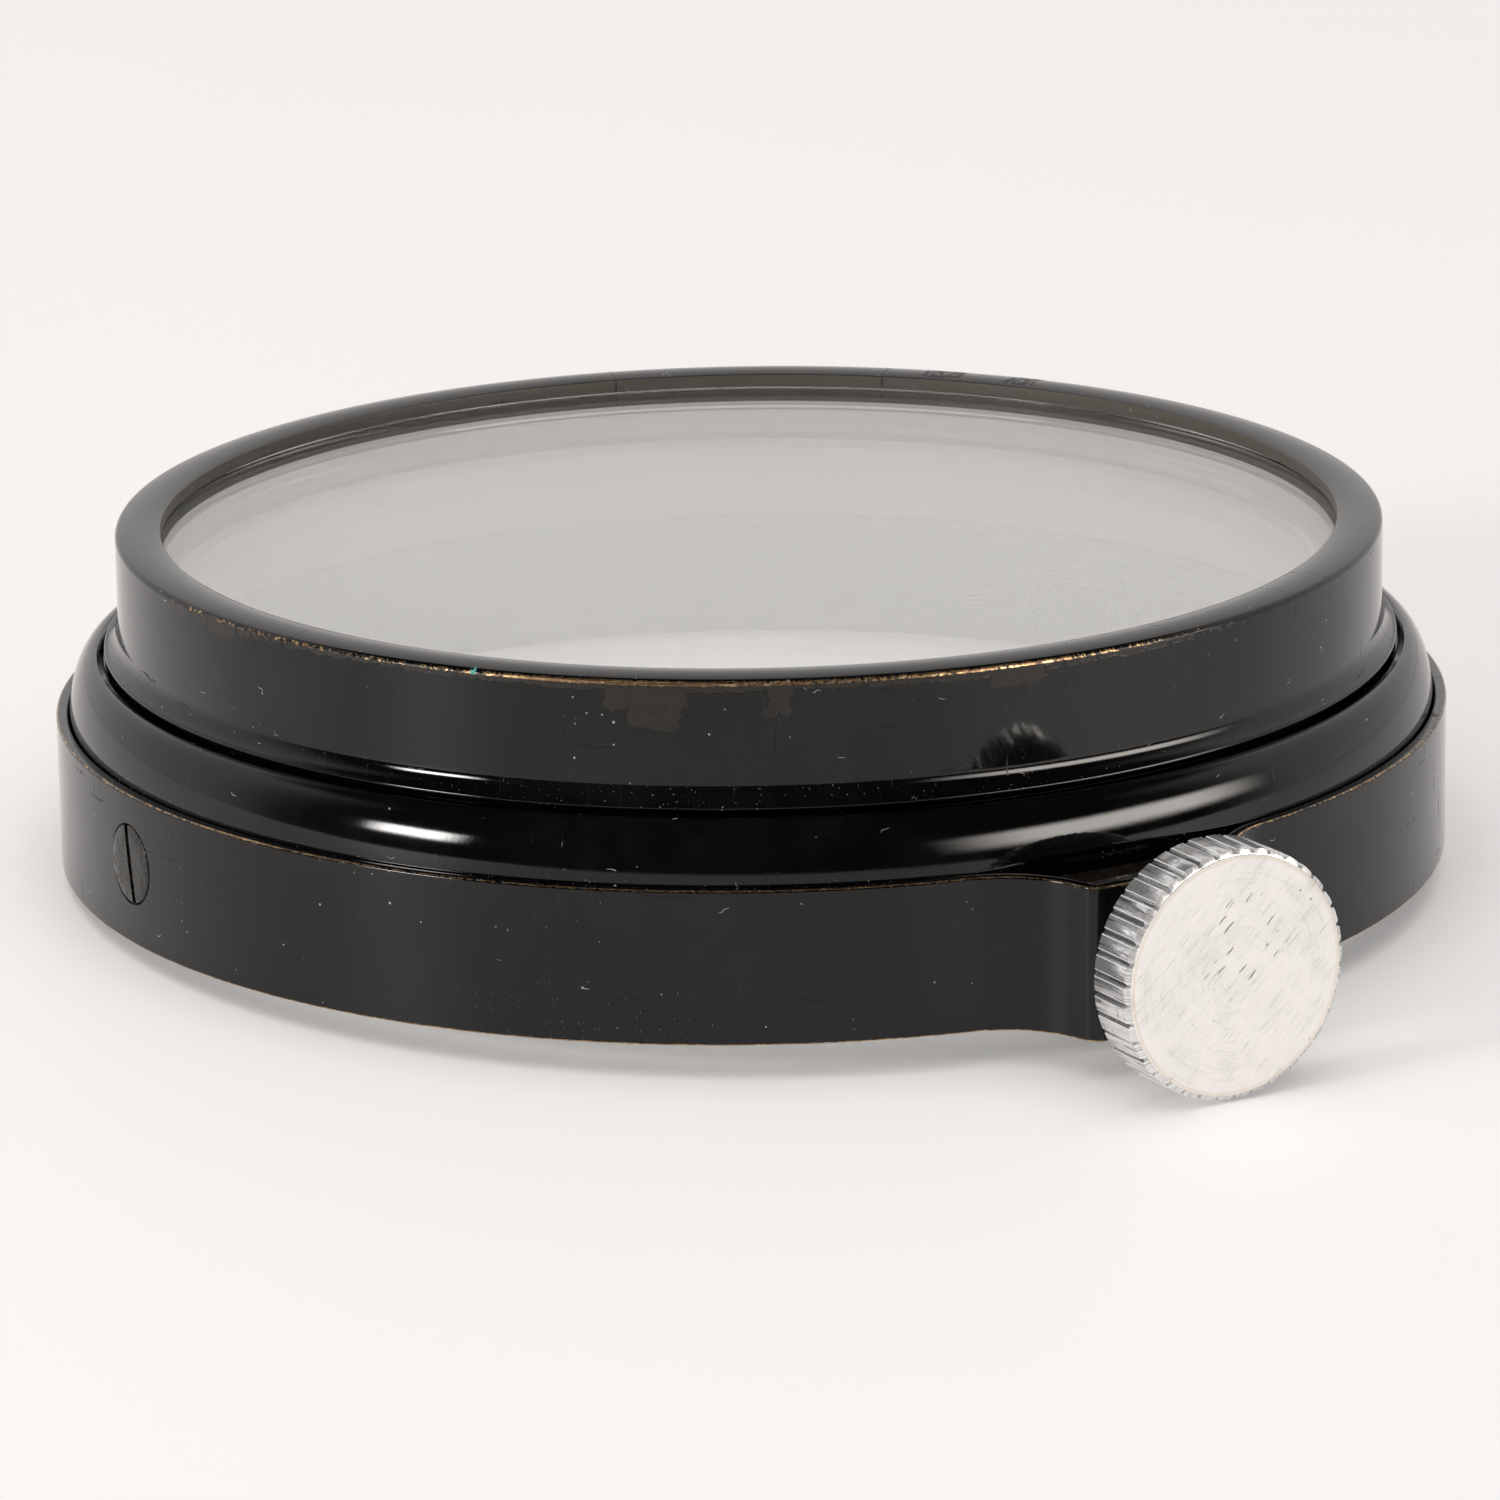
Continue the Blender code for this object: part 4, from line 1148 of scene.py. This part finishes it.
def make_floor():
    """The table: it meets the knob's lower edge and the band's far rim, so it slopes a little."""
    knob_low, knob_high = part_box("thumb_knob")
    band_low, band_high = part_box("clamp_band")
    chamfer = 0.3 * MM
    sunk = 0.02 * MM
    near = Vector((0.0, knob_high.y - chamfer, knob_low.z))
    far = Vector((0.0, band_high.y, band_low.z))
    slope = math.atan2(far.z - near.z, far.y - near.y)
    mesh = bpy.data.meshes.new("table_top")
    bm = bmesh.new()
    bmesh.ops.create_grid(bm, x_segments=8, y_segments=8, size=TABLE_REACH)
    bm.to_mesh(mesh)
    bm.free()
    floor = put_in_scene("table_top", mesh)
    floor.rotation_euler = (slope, 0.0, 0.0)
    floor.location = far + Vector((0.0, 0.0, -sunk))
    look = Look("white_table", (0.83, 0.81, 0.80), 0.55, IOR=1.3)
    paper = look.noise(60.0, 2.0, 0.4)
    look.set(Base_Color=look.mix(paper, (0.84, 0.822, 0.812), (0.82, 0.80, 0.79)))
    look.set(Emission_Color=(0.93, 0.905, 0.89, 1.0), Emission_Strength=TABLE_GLOW)
    look.bump(look.noise(0.8, 3.0), 0.004)
    mesh.materials.append(look.finish())


def fade_edges(tree):
    """Lets a rectangular light fade from its middle to its edges."""
    spot = add_node(tree, "ShaderNodeNewGeometry").outputs["Parametric"]
    fades = []
    for across in add_node(tree, "ShaderNodeSeparateXYZ", spot).outputs[:2]:
        inwards = add_node(tree, "ShaderNodeMath", across, 0.5, operation="PINGPONG").outputs[0]
        limits = (inwards, 0.0, SOFTBOX_FADE)
        soft = add_node(tree, "ShaderNodeMapRange", *limits, interpolation_type="SMOOTHSTEP")
        fades.append(soft.outputs[0])
    both = add_node(tree, "ShaderNodeMath", *fades, operation="MULTIPLY")
    tree.links.new(both.outputs[0], tree.nodes["Emission"].inputs["Strength"])


def make_light(name, azimuth, elevation, distance, size, radiance, colour, glossy=True):
    """A rectangular soft light that faces the object, brightest in its middle.

    Its radiance is the brightness per area of the middle. A light that isn't glossy shows in no
    reflection, and a glossy one is not seen through the glass.
    """
    light = bpy.data.lights.new(name, "AREA")
    light.shape = "RECTANGLE"
    light.size, light.size_y = size
    light.energy = radiance * math.pi * size[0] * size[1]
    light.color = colour
    light.use_nodes = True
    fade_edges(light.node_tree)
    obj = put_in_scene(name, light)
    away = direction(azimuth, elevation)
    obj.location = away * distance
    obj.rotation_euler = (-away).to_track_quat("-Z", "Y").to_euler()
    obj.visible_camera = False
    obj.visible_transmission = not glossy
    obj.visible_glossy = glossy
    return obj


def make_lights():
    """Two softboxes, the right one for reflections only, and a large light overhead."""
    left = CAMERA_AZIMUTH - 57
    right = CAMERA_AZIMUTH + 61
    make_light("left_softbox", left, 16.5, 0.85, (0.30, 0.18), 47.0, (1.0, 0.975, 0.95))
    panel = make_light("right_softbox", right, 15, 0.9, (1.15, 0.33), 13.0, (1.0, 0.94, 0.87))
    panel.visible_diffuse = False
    above = (1.0, 0.985, 0.975)
    make_light("overhead", CAMERA_AZIMUTH, 80, 1.4, (2.6, 2.6), 1.62, above, glossy=False)


def make_world():
    """The room that each kind of ray meets.

    In reflections and through the glass it is white behind the object, up to about 45 degrees, and
    dark elsewhere. Diffuse light gets an even grey instead, and the camera a white backdrop.
    """
    world = bpy.data.worlds.new("studio")
    bpy.context.scene.world = world
    world.use_nodes = True
    tree = world.node_tree

    def smooth(value, low, high):
        limits = (value, low, high, 0.0, 1.0)
        return add_node(tree, "ShaderNodeMapRange", *limits, interpolation_type="SMOOTHSTEP").outputs[0]

    def choose(share, first, second):
        mix = add_node(tree, "ShaderNodeMix", share, data_type="RGBA")
        put(tree, first, mix.inputs[6])
        put(tree, second, mix.inputs[7])
        return mix.outputs[2]

    seen_from = add_node(tree, "ShaderNodeTexCoord").outputs["Generated"]
    away = -direction(CAMERA_AZIMUTH, 0.0)
    behind = add_node(tree, "ShaderNodeVectorMath", seen_from, away, operation="DOT_PRODUCT")
    height = add_node(tree, "ShaderNodeSeparateXYZ", seen_from)
    back = smooth(behind.outputs["Value"], -0.25, 0.25)
    low = smooth(height.outputs[2], 0.80, 0.66)
    sweep = add_node(tree, "ShaderNodeMath", back, low, operation="MULTIPLY").outputs[0]
    path = add_node(tree, "ShaderNodeLightPath")
    room = choose(sweep, ROOM_DARK, ROOM_WHITE)
    room = choose(path.outputs["Is Diffuse Ray"], room, ROOM_FILL)
    room = choose(path.outputs["Is Camera Ray"], room, BACKDROP_WHITE)
    tree.links.new(room, tree.nodes["Background"].inputs["Color"])


def main():
    bpy.context.scene.view_settings.view_transform = "Standard"
    make_camera()
    make_floor()
    make_lights()
    make_world()
    felt_look = felt()
    make_cell()
    make_glazing()
    make_retainers()
    make_collar()
    make_lining(felt_look)
    make_band()
    make_band_screws()
    make_block()
    make_shoe(felt_look)
    make_shank()
    make_knob()


main()
